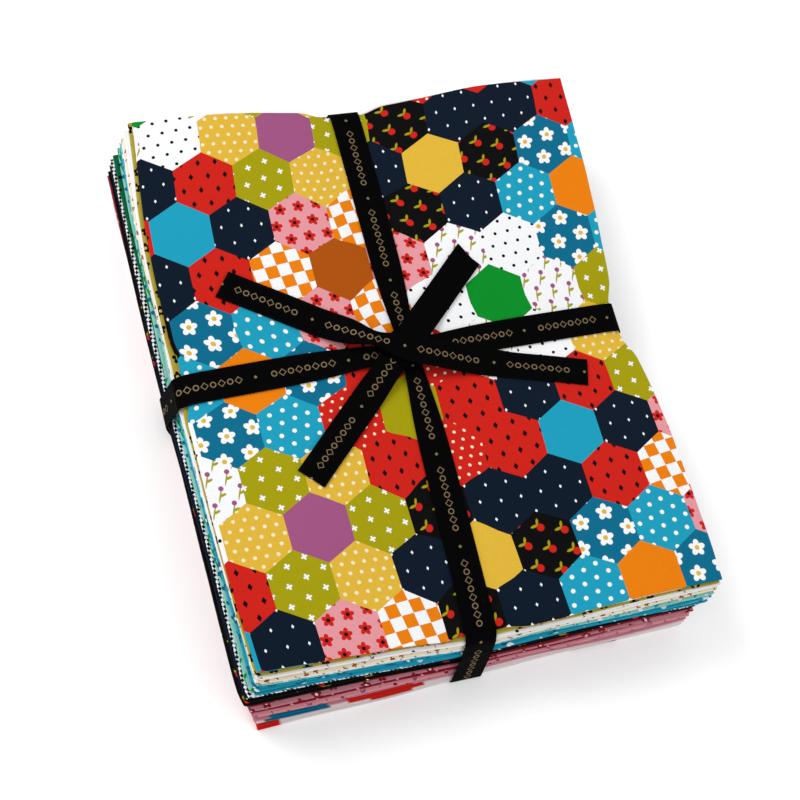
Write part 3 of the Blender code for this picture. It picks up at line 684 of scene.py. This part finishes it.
class Sheet:
    """One fat quarter: its layers' heights in the loose stack and its edges in the tied one."""

    def __init__(self, number):
        size = sizes()
        self.number, self.piece = number, FAT_QUARTERS[number - 1]
        pitch = (size.stack_height + size.sheet_gap) / len(FAT_QUARTERS)
        self.thickness = pitch - size.sheet_gap
        self.step = (self.thickness - size.cloth) / 3
        self.outside, self.inside = (self.step + size.cloth) / 2, (self.step - size.cloth) / 2
        self.middle = size.stack_height - (number - 1) * pitch - self.thickness / 2
        self.slip = self.piece.slip * MM
        self.width, self.length = size.folded_width, size.folded_length
        _, left, front, side, end, narrow, short, _ = self.piece
        side, end = math.tan(math.radians(side)), math.tan(math.radians(end))
        self.straight = {LEFT.number: (-self.width / 2 - left * MM, -side),
                         RIGHT.number: (self.width / 2 - (left + narrow) * MM, -side),
                         FRONT.number: (-self.length / 2 - front * MM, end),
                         BACK.number: (self.length / 2 - (front + short) * MM, end)}
        self.pull = (self.middle / size.stack_height) ** BOW_FADE * MM
        depth = min((number - 0.5) * pitch * 0.82, EDGE_ROUNDING)
        self.tuck = EDGE_ROUNDING - math.sqrt(EDGE_ROUNDING ** 2 - (EDGE_ROUNDING - depth) ** 2)

    def edge(self, side, place):
        """One edge at places along it: straight, but for what the ties draw it out and in."""
        start, lean = self.straight[side.number]
        spots = [np.interp(place / MM + shift, side.places, side.bow)
                 for shift in BOW_SOFTENING]
        across = np.abs(place - side.tie.offset) / MM
        tuck = side.inward * self.tuck * ease((TUCK_REACH - across) / TUCK_FADE)
        bow = self.pull * (sum(spots) / len(spots)) + tuck
        return start + lean * place + bow + wander(self.number, side, place)


# ==== folded sheets
def fold_lines(count):
    """Shares across a folded sheet from one cut edge over the fold to the other, and turns."""
    even = np.linspace(1.0, 0.0, count)
    flat = even - CROWDING * np.sin(4 * math.pi * even) / (4 * math.pi)
    angles = np.linspace(90.0, -90.0, FOLD_POINTS)
    share = np.concatenate([flat[:-1], np.zeros(FOLD_POINTS), flat[::-1][1:]])
    angle = np.concatenate([np.full(count - 1, 90.0), angles, np.full(count - 1, -90.0)])
    return share, np.radians(angle)


def rumple(x, y, z):
    """Slack waves that run through the whole stack, none at the ties or on the ground."""
    free = free_of_ties(x, y, *WAVES_FREE)
    level = np.clip(z / sizes().stack_height, 0.0, 1.0)
    inner = np.sin(math.pi * level) * free
    along, across, up = y / MM, x / MM, z / MM
    moved_x = x + WAVE_X[0] * MM * free * np.sin(along / WAVE_X[1] + up / WAVE_X[2])
    moved_y = y + WAVE_Y[0] * MM * free * np.sin(across / WAVE_Y[1] + up / WAVE_Y[2])
    slow = np.sin(across / WAVE_Z[1] - along / WAVE_Z[2] + up / WAVE_Z[3])
    return moved_x, moved_y, z + WAVE_Z[0] * MM * inner * slow


def round_corner(number, place, edge, other):
    """Draws in an edge close to the corner where two folds meet, less in the upper sheets."""
    most = CORNER_LEAST + CORNER_MORE * min(number / CORNER_SHEETS, 1.0)
    return most * MM * np.exp(-np.maximum(place - edge, 0.0) / CORNER_REACH) * other


def folded_face(sheet, half_step, counts):
    """Points of one face of a folded sheet and their places on the unfolded cloth."""
    (share_x, turn_x), (share_y, turn_y) = (fold_lines(count) for count in counts)
    share_x, turn_x = share_x[:, None], turn_x[:, None]
    share_y, turn_y = share_y[None, :], turn_y[None, :]
    rise_x, rise_y = np.sin(turn_x), np.sin(turn_y)
    layer = sheet.step + rise_y * half_step + 0.0 * rise_x
    x_guess = (share_x - 0.5) * sheet.width
    y_front, y_back = sheet.edge(FRONT, x_guess) + sheet.outside, sheet.edge(BACK, x_guess)
    y_guess = y_front + share_y * (y_back - y_front)
    left = sheet.edge(LEFT, y_guess) + sheet.step + sheet.outside
    right = sheet.edge(RIGHT, y_guess) + sheet.slip * (0.6 * rise_x + 0.4 * rise_y)
    x = left + share_x * (right - left) - np.cos(turn_x) * layer
    front = sheet.edge(FRONT, x) + sheet.outside
    back = sheet.edge(BACK, x) + sheet.slip * (0.7 * rise_y - 0.3 * rise_x)
    back = back + CUT_WAVE * MM * np.sin(x / MM / 13.0 + 2.1 * rise_y + 1.3 * rise_x)
    y = front + share_y * (back - front) - np.cos(turn_y) * half_step
    x = x + share_x * CUT_WAVE * MM * np.sin(y / MM / 14.0 + 1.4 * rise_y + 2.2 * rise_x)
    x, y = (x + round_corner(sheet.number, y, sheet.straight[FRONT.number][0], 1 - share_x),
            y + round_corner(sheet.number, x, sheet.straight[LEFT.number][0], 1 - share_y))
    z = settle(x, y, sheet.middle + rise_x * layer, sheet.number)
    cloth_x = np.sign(turn_x) * share_x * (right - left) + turn_x * layer
    cloth_y = np.sign(turn_y) * share_y * (back - front) + turn_y * half_step
    return np.stack(rumple(x, y, z), -1), np.stack([cloth_x, cloth_y, 0.0 * x], -1)


def sheet_quads(columns, rows):
    """Faces of a sheet: both of its sides, and the rim between them round the cut edges."""
    grid = np.arange(columns * rows).reshape(columns, rows)
    side = np.stack([grid[:-1, :-1], grid[:-1, 1:], grid[1:, 1:], grid[1:, :-1]], -1).reshape(-1, 4)
    border = np.concatenate([grid[:, 0], grid[-1, 1:], grid[-2::-1, -1], grid[0, -2:0:-1]])
    after = np.roll(border, -1)
    rim = np.stack([border + grid.size, after + grid.size, after, border], -1)
    return np.concatenate([side[:, ::-1], side + grid.size, rim])


def make_mesh(name, points, quads, attribute, numbers, material):
    """A mesh object in the frame of the solids, with numbers that its material reads."""
    mesh = bpy.data.meshes.new(name)
    mesh.from_pydata((points + np.array([*CENTRE_SHIFT, 0.0])).tolist(), [], quads.tolist())
    mesh.validate()
    layer = mesh.attributes.new(attribute, "FLOAT_VECTOR", "POINT")
    layer.data.foreach_set("vector", numbers.astype(np.float32).ravel())
    mesh.shade_smooth()
    mesh.set_sharp_from_angle(angle=math.radians(60))
    mesh.materials.append(material)
    thing = bpy.data.objects.new(name, mesh)
    bpy.context.scene.collection.objects.link(thing)
    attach(thing, ROOT)
    return thing


def fold_sheet(number, counts, material):
    """One fat quarter: a sheet folded in half twice, in its place in the stack."""
    sheet = Sheet(number)
    faces = [folded_face(sheet, step, counts) for step in (sheet.outside, sheet.inside)]
    columns, rows = faces[0][0].shape[:2]
    points, places = (np.concatenate([face[part].reshape(-1, 3) for face in faces])
                      for part in (0, 1))
    places[columns * rows:, 2] = 1.0
    cloth = sheet.piece.cloth
    name = "cotton_%02d_%s" % (number, cloth)
    thing = make_mesh(name, points, sheet_quads(columns, rows), "cloth_place", places, material)
    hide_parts("fat_quarter_%02d" % number)
    below = "fat_quarter_%02d" % (number + 1)


# ==== the way round the stack
def hull(points):
    """The tight way round a set of flat points, anticlockwise."""
    ordered = sorted(set(points))

    def half(sequence):
        line = []
        for point in sequence:
            while len(line) > 1:
                ax, ay = line[-1][0] - line[-2][0], line[-1][1] - line[-2][1]
                bx, by = point[0] - line[-2][0], point[1] - line[-2][1]
                if ax * by - ay * bx > 1e-10:
                    break
                line.pop()
            line.append(point)
        return line[:-1]

    return half(ordered) + half(ordered[::-1])


def offset_loop(loop, distance):
    """A convex loop moved out by a distance, its corners rounded in flat steps."""
    moved = []
    for before, here, after in zip(loop[-1:] + loop[:-1], loop, loop[1:] + loop[:1]):
        first = math.atan2(before[0] - here[0], here[1] - before[1])
        turn = (math.atan2(here[0] - after[0], after[1] - here[1]) - first) % (2 * math.pi)
        steps = max(1, math.ceil(turn / math.radians(12)))
        for step in range(steps + 1 if steps > 1 else 1):
            angle = first + turn * (step / steps if steps > 1 else 0.5)
            moved.append((here[0] + math.cos(angle) * distance,
                          here[1] + math.sin(angle) * distance))
    return moved


def finely(loop, step):
    """The points of a closed line with others put between them, no further apart than step."""
    points = []
    for here, after in zip(loop, loop[1:] + loop[:1]):
        count = max(1, math.ceil(math.dist(here, after) / step))
        points += [(here[0] + (after[0] - here[0]) * i / count,
                    here[1] + (after[1] - here[1]) * i / count) for i in range(count)]
    return points


def run_along(line):
    """Distance along a line of points."""
    steps = np.linalg.norm(np.diff(line, axis=0), axis=1)
    return np.concatenate([[0.0], np.cumsum(steps)])


def smooth_over(values, reach):
    """Each value the highest within reach, then averaged over the same reach."""
    wide = np.array([values[max(0, i - reach):i + reach + 1].max() for i in range(len(values))])
    padded = np.concatenate([np.full(reach, wide[0]), wide, np.full(reach, wide[-1])])
    return np.convolve(padded, np.ones(2 * reach + 1) / (2 * reach + 1), "valid")


def edge_points(sheet, height, aside, tie):
    """Both edges of one level of a sheet under a tie: places along the tie and heights."""
    sides = (FRONT, BACK) if tie.lengthwise else (LEFT, RIGHT)
    ends = []
    for side, far, slip in zip(sides, (-1, 1), (0.0, sheet.slip)):
        across = middle_of(tie, far * tie.half) + aside
        place = sheet.edge(side, across) + slip
        rise = settle(*from_above(tie, place, across), height, sheet.number)
        ends.append((float(place), float(rise)))
    return ends


def stack_section(tie):
    """Where the stack reaches in the upright plane of a tie, over the width of the ribbon."""
    width = sizes().ribbon_width
    points = []
    for sheet in (Sheet(number) for number in range(1, len(FAT_QUARTERS) + 1)):
        for level in (-0.5, -0.25, 0.25, 0.5):
            height = sheet.middle + level * sheet.thickness
            for side in (-0.5, -0.25, 0.0, 0.25, 0.5):
                points += edge_points(sheet, height, side * width, tie)
    for place in np.linspace(tie.ends[0] + 1.0, tie.ends[1] - 1.0, 141) * MM:
        for side in (-0.5, 0.0, 0.5):
            x, y = from_above(tie, place, middle_of(tie, place) + side * width)
            points.append((float(place), float(top_height(x, y))))
    return points


def raise_below(loop, steps):
    """Takes the underside of a band over the ribbon that it crosses."""
    floor = min(point[1] for point in loop)
    first = max((i for i in range(len(loop)) if loop[i][0] < 0 and loop[i][1] < floor + 1e-4),
                key=lambda i: loop[i][0])
    lifted = [(place * MM, floor + rise * MM) for place, rise in steps]
    return loop[:first + 1] + lifted + loop[first + 1:]


def soft_bends(loop):
    """The same line with softer bends over the stack's upper edges, nowhere closer to them."""
    start = next(i for i, point in enumerate(loop) if loop[i - 1][1] <= SIDES < point[1])
    loop = loop[start:] + loop[:start]
    upper = np.array([point for point in loop if point[1] > SIDES])
    run = run_along(upper)
    spots = np.linspace(0.0, run[-1], round(run[-1] / MM))
    even = np.stack([np.interp(spots, run, column) for column in upper.T], -1)
    mean = even.copy()
    mean[2:-2] = sum(even[shift:len(even) - 4 + shift] for shift in range(5)) / 5
    way = np.gradient(mean, axis=0)
    out = np.stack([way[:, 1], -way[:, 0]], -1) / np.linalg.norm(way, axis=1)[:, None]
    lost = smooth_over(np.sum((even - mean) * out, axis=1), 3)
    soft = mean + out * lost[:, None]
    soft[:1], soft[-1:] = even[:1], even[-1:]
    return [tuple(map(float, point)) for point in soft] + loop[len(upper):]


def tie_loop(tie, section):
    """The lower face of a tie round the stack, from a seam on its underside."""
    loop = offset_loop(hull(section), sizes().ribbon_gap)
    loop = soft_bends(loop if tie.lengthwise else raise_below(loop, CROSSING_BELOW))
    floor = min(height for _, height in loop)
    seam = max((place, i) for i, (place, height) in enumerate(loop) if height < floor + 1e-4)[1]
    return loop[seam:] + loop[:seam]


def upper_line(loop):
    """Places along a tie and the height of its upper face on the stack there."""
    top = np.array(sorted((place, height) for place, height in loop if height > UPPER_SIDE))
    return top[:, 0], top[:, 1] + sizes().ribbon_thickness


# ==== ribbons
def band(name, lower, aside, thickness, along, closed, material, lift, upper=None):
    """A ribbon along a line of points; aside points to its left edge at each.

    thickness goes from the lower face to the upper, lift raises both across the ribbon, and
    upper is the third number that the material reads.
    """
    count = len(lower)
    low = lower[:, None, :] + aside[:, None, :] * ACROSS[None, :, None] + lift
    high = low + thickness[:, None, :]
    side = aside[:, None, :] * 0.012
    edge = (low[:, :1] + high[:, :1]) / 2 - side
    other = (low[:, -1:] + high[:, -1:]) / 2 + side
    rings = np.concatenate([low, other, high[:, ::-1], edge], axis=1)
    wide = np.linalg.norm(aside, axis=1)[:, None]
    sides = np.concatenate([ACROSS, [1.0], ACROSS[::-1], [-1.0]])[None, :]
    marks = np.zeros(count) if upper is None else upper
    places = np.stack([along[:, None] + 0 * sides, wide * sides, marks[:, None] + 0 * sides], -1)
    grid = np.arange(rings.size // 3).reshape(count, -1)
    ends = [] if closed else [end_quads(grid[0])[:, ::-1], end_quads(grid[-1])]
    grid = np.concatenate([grid, grid[:1]]) if closed else grid
    after = np.roll(grid, -1, axis=1)
    quads = np.stack([grid[:-1], after[:-1], after[1:], grid[1:]], -1).reshape(-1, 4)
    return make_mesh(name, rings.reshape(-1, 3), np.concatenate([quads, *ends]), "ribbon_place",
                     places.reshape(-1, 3), material)


def end_quads(ring):
    """Closes the cut end of a ribbon across its section."""
    size = len(ring)
    return ring[[[(k - 1) % size, k, size - 3 - k, size - 2 - k] for k in range(len(ACROSS))]]


def make_tie(name, node, loop, tie, material):
    """A ribbon pulled tight round the stack and gathered a little at the knot."""
    size = sizes()
    place, height = np.array(finely(loop, TIE_STEP)).T
    lower = np.stack([*from_above(tie, place, middle_of(tie, place)), height], -1)
    before, after = np.roll(lower, 1, axis=0), np.roll(lower, -1, axis=0)
    way = (after - before) / np.linalg.norm(after - before, axis=1)[:, None]
    side = np.array([1.0, 0.0, 0.0] if tie.lengthwise else [0.0, -1.0, 0.0])
    out = np.cross(way, side)
    from_knot = np.abs(place - KNOT[1 if tie.lengthwise else 0]) / MM
    on_top = height > UPPER_SIDE
    gather = GATHER * np.exp(-(from_knot / GATHER_REACH) ** 2) * on_top
    pleat = ease((from_knot - PLEAT_START) / 4.0) * ease((PLEAT_END - from_knot) / 16.0) * on_top
    wave = 0.5 - 0.5 * np.cos(3 * math.pi * ACROSS)
    lift = PLEAT * pleat[:, None, None] * wave[None, :, None] * UP
    aside = side * (size.ribbon_width / 2 * (1 - gather))[:, None]
    along = run_along(lower)
    thing = band(name, lower, aside, out * size.ribbon_thickness, along, True, material, lift)
    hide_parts(node)


def strand_path(strand, step):
    """Distances from the knot along a strand and its places, seen from above."""
    knot = np.array(KNOT)
    arms = []
    for far, sign in ((strand.start, -1), (strand.end, 1)):
        way = np.array(far) * MM - knot
        run = np.linalg.norm(way)
        distances = np.linspace(BEND, run, max(3, round((run - BEND) / step)))
        arms.append((sign * distances, knot + np.outer(distances / run, way)))
    start, stop = arms[0][1][0], arms[1][1][0]
    share = np.linspace(0, 1, round(2 * BEND / step))[1:-1, None]
    turn = start * (1 - share) ** 2 + knot * 2 * share * (1 - share) + stop * share ** 2
    distances = np.concatenate([arms[0][0][::-1], BEND * (2 * share[:, 0] - 1), arms[1][0]])
    return distances, np.concatenate([arms[0][1][::-1], turn, arms[1][1]])


def clear_height(x, y, tie_tops):
    """Height of the stack and the ties at each place."""
    height = top_height(x, y)
    for (_, place, off), (places, heights) in zip(beside_ties(x, y), tie_tops):
        on_it = np.abs(off) < sizes().ribbon_width / 2 + 0.7 * MM
        height = np.where(on_it, np.maximum(height, np.interp(place, places, heights)), height)
    return height


def strand_height(strand, distance, places, aside, tie_tops):
    """Height of a strand's middle and the rise to its left edge, clear of all below it."""
    share = ease((np.abs(distance) / MM - strand.flat) / (strand.reach - strand.flat))
    edges = []
    for side in (-1.0, -0.5, 0.0, 0.5, 1.0):
        spot = places + aside * side * (sizes().tail_width / 2)
        height = clear_height(spot[:, 0], spot[:, 1], tie_tops) + sizes().ribbon_gap
        height = smooth_over(height, 4)
        edges.append(np.maximum(height, strand.base * MM * (1 - share) + height * share))
    left, right = edges[0], edges[-1]
    lack = np.max([edge - (left + (right - left) * i / 4) for i, edge in enumerate(edges)], 0)
    left, right = left + np.maximum(lack, 0), right + np.maximum(lack, 0)
    return (left + right) / 2, (right - left) / 2


def doubled(strand, distance, half):
    """How far the part of a strand past its fold stands above the part before it."""
    past = distance[:, None] - FOLD_SLANT * half * ACROSS - FOLD_PLACE
    step = ease(past / FOLD_RISE) * (1 - ease((past - FOLD_FLAT) / FOLD_END))
    return strand.fold * MM * step[:, :, None] * UP


def make_strand(strand, tie_tops, material):
    """A ribbon that runs over the knot and lies on the print with both ends free."""
    size = sizes()
    distance, places = strand_path(strand, STRAND_STEP)
    along = np.gradient(places, axis=0)
    along /= np.linalg.norm(along, axis=1)[:, None]
    aside = np.stack([-along[:, 1], along[:, 0]], -1)
    half = size.tail_width / 2
    middle, tilt = strand_height(strand, distance, places, aside, tie_tops)
    cut = np.zeros(len(distance))
    cut[0], cut[-1] = -strand.cut_start * MM / 2, strand.cut_end * MM / 2
    gather = 1 - strand.pinch * np.exp(-((distance / MM - PINCH_PLACE) / PINCH_REACH) ** 2)
    lean = np.concatenate([aside * half + along * cut[:, None], tilt[:, None]], 1)
    lean *= gather[:, None]
    curl = CURL * (1 - ACROSS ** 2)[None, :, None] * UP
    curl = curl * (1 - 0.6 * gather)[:, None, None] + doubled(strand, distance, half)
    run = distance - distance[0]
    thing = band(strand.name + "_ribbon", np.concatenate([places, middle[:, None]], 1), lean,
                 np.tile(UP * size.ribbon_thickness, (len(run), 1)), run, False, material, curl,
                 upper=np.where(distance > 0, 1.0, 0.0))
    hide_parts(strand.name)


def make_knot(material):
    """The turn of ribbon that holds the strands: a flat sleeve round the lower one."""
    size = sizes()
    start, end = np.array(STRANDS[0].start), np.array(STRANDS[0].end)
    along = (end - start) / np.linalg.norm(end - start)
    across = np.array([-along[1], along[0]])
    half_width = size.tail_width / 2 + KNOT_SPARE
    top = [(half_width * place, KNOT_HALF_HEIGHT) for place in np.linspace(1, -1, 9)]
    bottom = [(-place, -height) for place, height in top]
    loop = finely(offset_loop(top + bottom, KNOT_ROUNDING), KNOT_STEP)
    flat, rise = np.array(loop).T
    lower = np.concatenate([np.array(KNOT) + across * flat[:, None],
                            (KNOT_MIDDLE + rise)[:, None]], 1)
    out = np.stack([across[0] * flat / half_width, across[1] * flat / half_width,
                    rise / KNOT_HALF_HEIGHT * 1.6], -1)
    out /= np.linalg.norm(out, axis=1)[:, None]
    aside = np.tile(np.array([*along, 0.0]) * KNOT_LENGTH / 2, (len(flat), 1))
    pleats = KNOT_PLEAT * (0.5 + 0.5 * np.cos(4 * math.pi * ACROSS))
    lift = out[:, None, :] * pleats[None, :, None]
    run = run_along(lower)
    thing = band("knot_ribbon", lower, aside, out * size.ribbon_thickness, run, True, material,
                 lift)
    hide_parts("tie_knot")


# ==== floor, light and camera
def make_floor():
    mesh = bpy.data.meshes.new("floor")
    far = FLOOR_REACH
    mesh.from_pydata([(-far, -far, 0), (far, -far, 0), (far, far, 0), (-far, far, 0)], [],
                     [(0, 1, 2, 3)])
    surface = Surface("floor_paper", roughness=0.9, specular=0.2)
    surface.paint("Base Color", pigment("floor"))
    surface.paint("Emission Color", (1.0, 1.0, 1.0))
    surface.paint("Emission Strength", FLOOR_GLOW)
    mesh.materials.append(surface.material)
    floor = bpy.data.objects.new("floor", mesh)
    bpy.context.scene.collection.objects.link(floor)


def make_lights():
    world = bpy.data.worlds.new("studio")
    bpy.context.scene.world = world
    world.use_nodes = True
    background = world.node_tree.nodes["Background"]
    background.inputs["Color"].default_value = (1.0, 1.0, 1.0, 1.0)
    background.inputs["Strength"].default_value = SKY_LIGHT
    for name, place, size, power in LAMPS:
        lamp = bpy.data.lights.new(name, "AREA")
        lamp.shape = "DISK"
        lamp.size, lamp.energy = size, power
        light = bpy.data.objects.new(name, lamp)
        light.location = place
        light.rotation_euler = (LAMPS_AIM - Vector(place)).to_track_quat("-Z", "Y").to_euler()
        bpy.context.scene.collection.objects.link(light)
    bpy.context.scene.view_settings.view_transform = "Standard"


def make_camera():
    azimuth, elevation, roll = CAMERA_AZIMUTH, CAMERA_ELEVATION, CAMERA_ROLL
    back = Vector((-math.sin(azimuth) * math.cos(elevation),
                   -math.cos(azimuth) * math.cos(elevation), math.sin(elevation)))
    right = Vector((0.0, 0.0, 1.0)).cross(back).normalized()
    up = back.cross(right)
    right_rolled = right * math.cos(roll) + up * math.sin(roll)
    up_rolled = up * math.cos(roll) - right * math.sin(roll)
    camera = bpy.data.objects.new("camera", bpy.data.cameras.new("camera"))
    axes = Matrix((right_rolled, up_rolled, back)).transposed()
    camera.matrix_world = Matrix.Translation(CAMERA_PLACE) @ axes.to_4x4()
    camera.data.lens = CAMERA_LENS
    camera.data.sensor_width = CAMERA_SENSOR
    bpy.context.scene.collection.objects.link(camera)
    bpy.context.scene.camera = camera


# ==== operators and panel
class BUNDLE_OT_patchwork(bpy.types.Operator):
    """Folds the patchwork print that lies on top"""
    bl_idname = "bundle.patchwork"
    bl_label = "Patchwork Sheet"

    def execute(self, context):
        fold_sheet(1, PATCHWORK_POINTS, cotton("patchwork_cotton", patchwork_colour))
        return {"FINISHED"}


class BUNDLE_OT_prints(bpy.types.Operator):
    """Folds the other prints of the stack"""
    bl_idname = "bundle.prints"
    bl_label = "Lower Sheets"

    def execute(self, context):
        for number, piece in enumerate(FAT_QUARTERS[1:], start=2):
            material = cotton(piece.cloth + "_cotton", print_colour, PRINTS[piece.cloth])
            fold_sheet(number, FINER.get(number, POINTS), material)
        return {"FINISHED"}


class BUNDLE_OT_ties(bpy.types.Operator):
    """Lays both ribbons tight round the stack and knots them on top"""
    bl_idname = "bundle.ties"
    bl_label = "Ribbon Ties"

    def execute(self, context):
        marked = satin("marked_ribbon", "everywhere")
        half_marked = satin("half_marked_ribbon", "one half")
        plain = satin("plain_ribbon", "nowhere")
        lengthwise = tie_loop(LENGTHWISE, stack_section(LENGTHWISE))
        top = upper_line(lengthwise)
        half = sizes().ribbon_width / 2
        crossing = [(LENGTHWISE.offset + side * half, float(np.interp(0.0, *top)))
                    for side in (-1, 1)]
        crosswise = tie_loop(CROSSWISE, stack_section(CROSSWISE) + crossing)
        make_tie("lengthwise_ribbon", "tie_lengthwise", lengthwise, LENGTHWISE, marked)
        make_tie("crosswise_ribbon", "tie_crosswise", crosswise, CROSSWISE, marked)
        tie_tops = (top, upper_line(crosswise))
        make_knot(plain)
        make_strand(STRANDS[0], tie_tops, half_marked)
        make_strand(STRANDS[1], tie_tops, marked)
        return {"FINISHED"}


class BUNDLE_OT_stage(bpy.types.Operator):
    """Sets the pale floor, the soft light and the camera"""
    bl_idname = "bundle.stage"
    bl_label = "Stage"

    def execute(self, context):
        make_floor()
        make_lights()
        make_camera()
        return {"FINISHED"}


class BUNDLE_PT_panel(bpy.types.Panel):
    bl_label = "Fat Quarter Bundle"
    bl_space_type = "VIEW_3D"
    bl_region_type = "UI"
    bl_category = "Bundle"

    def draw(self, context):
        layout = self.layout
        for operator in OPERATORS:
            layout.operator(operator.bl_idname)
        for group in (context.scene.bundle_sizes, context.scene.bundle_colours):
            for name in group.bl_rna.properties.keys():
                if name not in ("rna_type", "name"):
                    layout.prop(group, name)


OPERATORS = (BUNDLE_OT_patchwork, BUNDLE_OT_prints, BUNDLE_OT_ties, BUNDLE_OT_stage)
CLASSES = (BundleSizes, BundleColours, *OPERATORS, BUNDLE_PT_panel)


def register():
    for each in CLASSES:
        bpy.utils.register_class(each)
    bpy.types.Scene.bundle_sizes = PointerProperty(type=BundleSizes)
    bpy.types.Scene.bundle_colours = PointerProperty(type=BundleColours)


def unregister():
    del bpy.types.Scene.bundle_colours
    del bpy.types.Scene.bundle_sizes
    for each in reversed(CLASSES):
        bpy.utils.unregister_class(each)


def main():
    register()
    bpy.ops.bundle.patchwork()
    bpy.ops.bundle.prints()
    bpy.ops.bundle.ties()
    bpy.ops.bundle.stage()


if __name__ == "__main__":
    main()
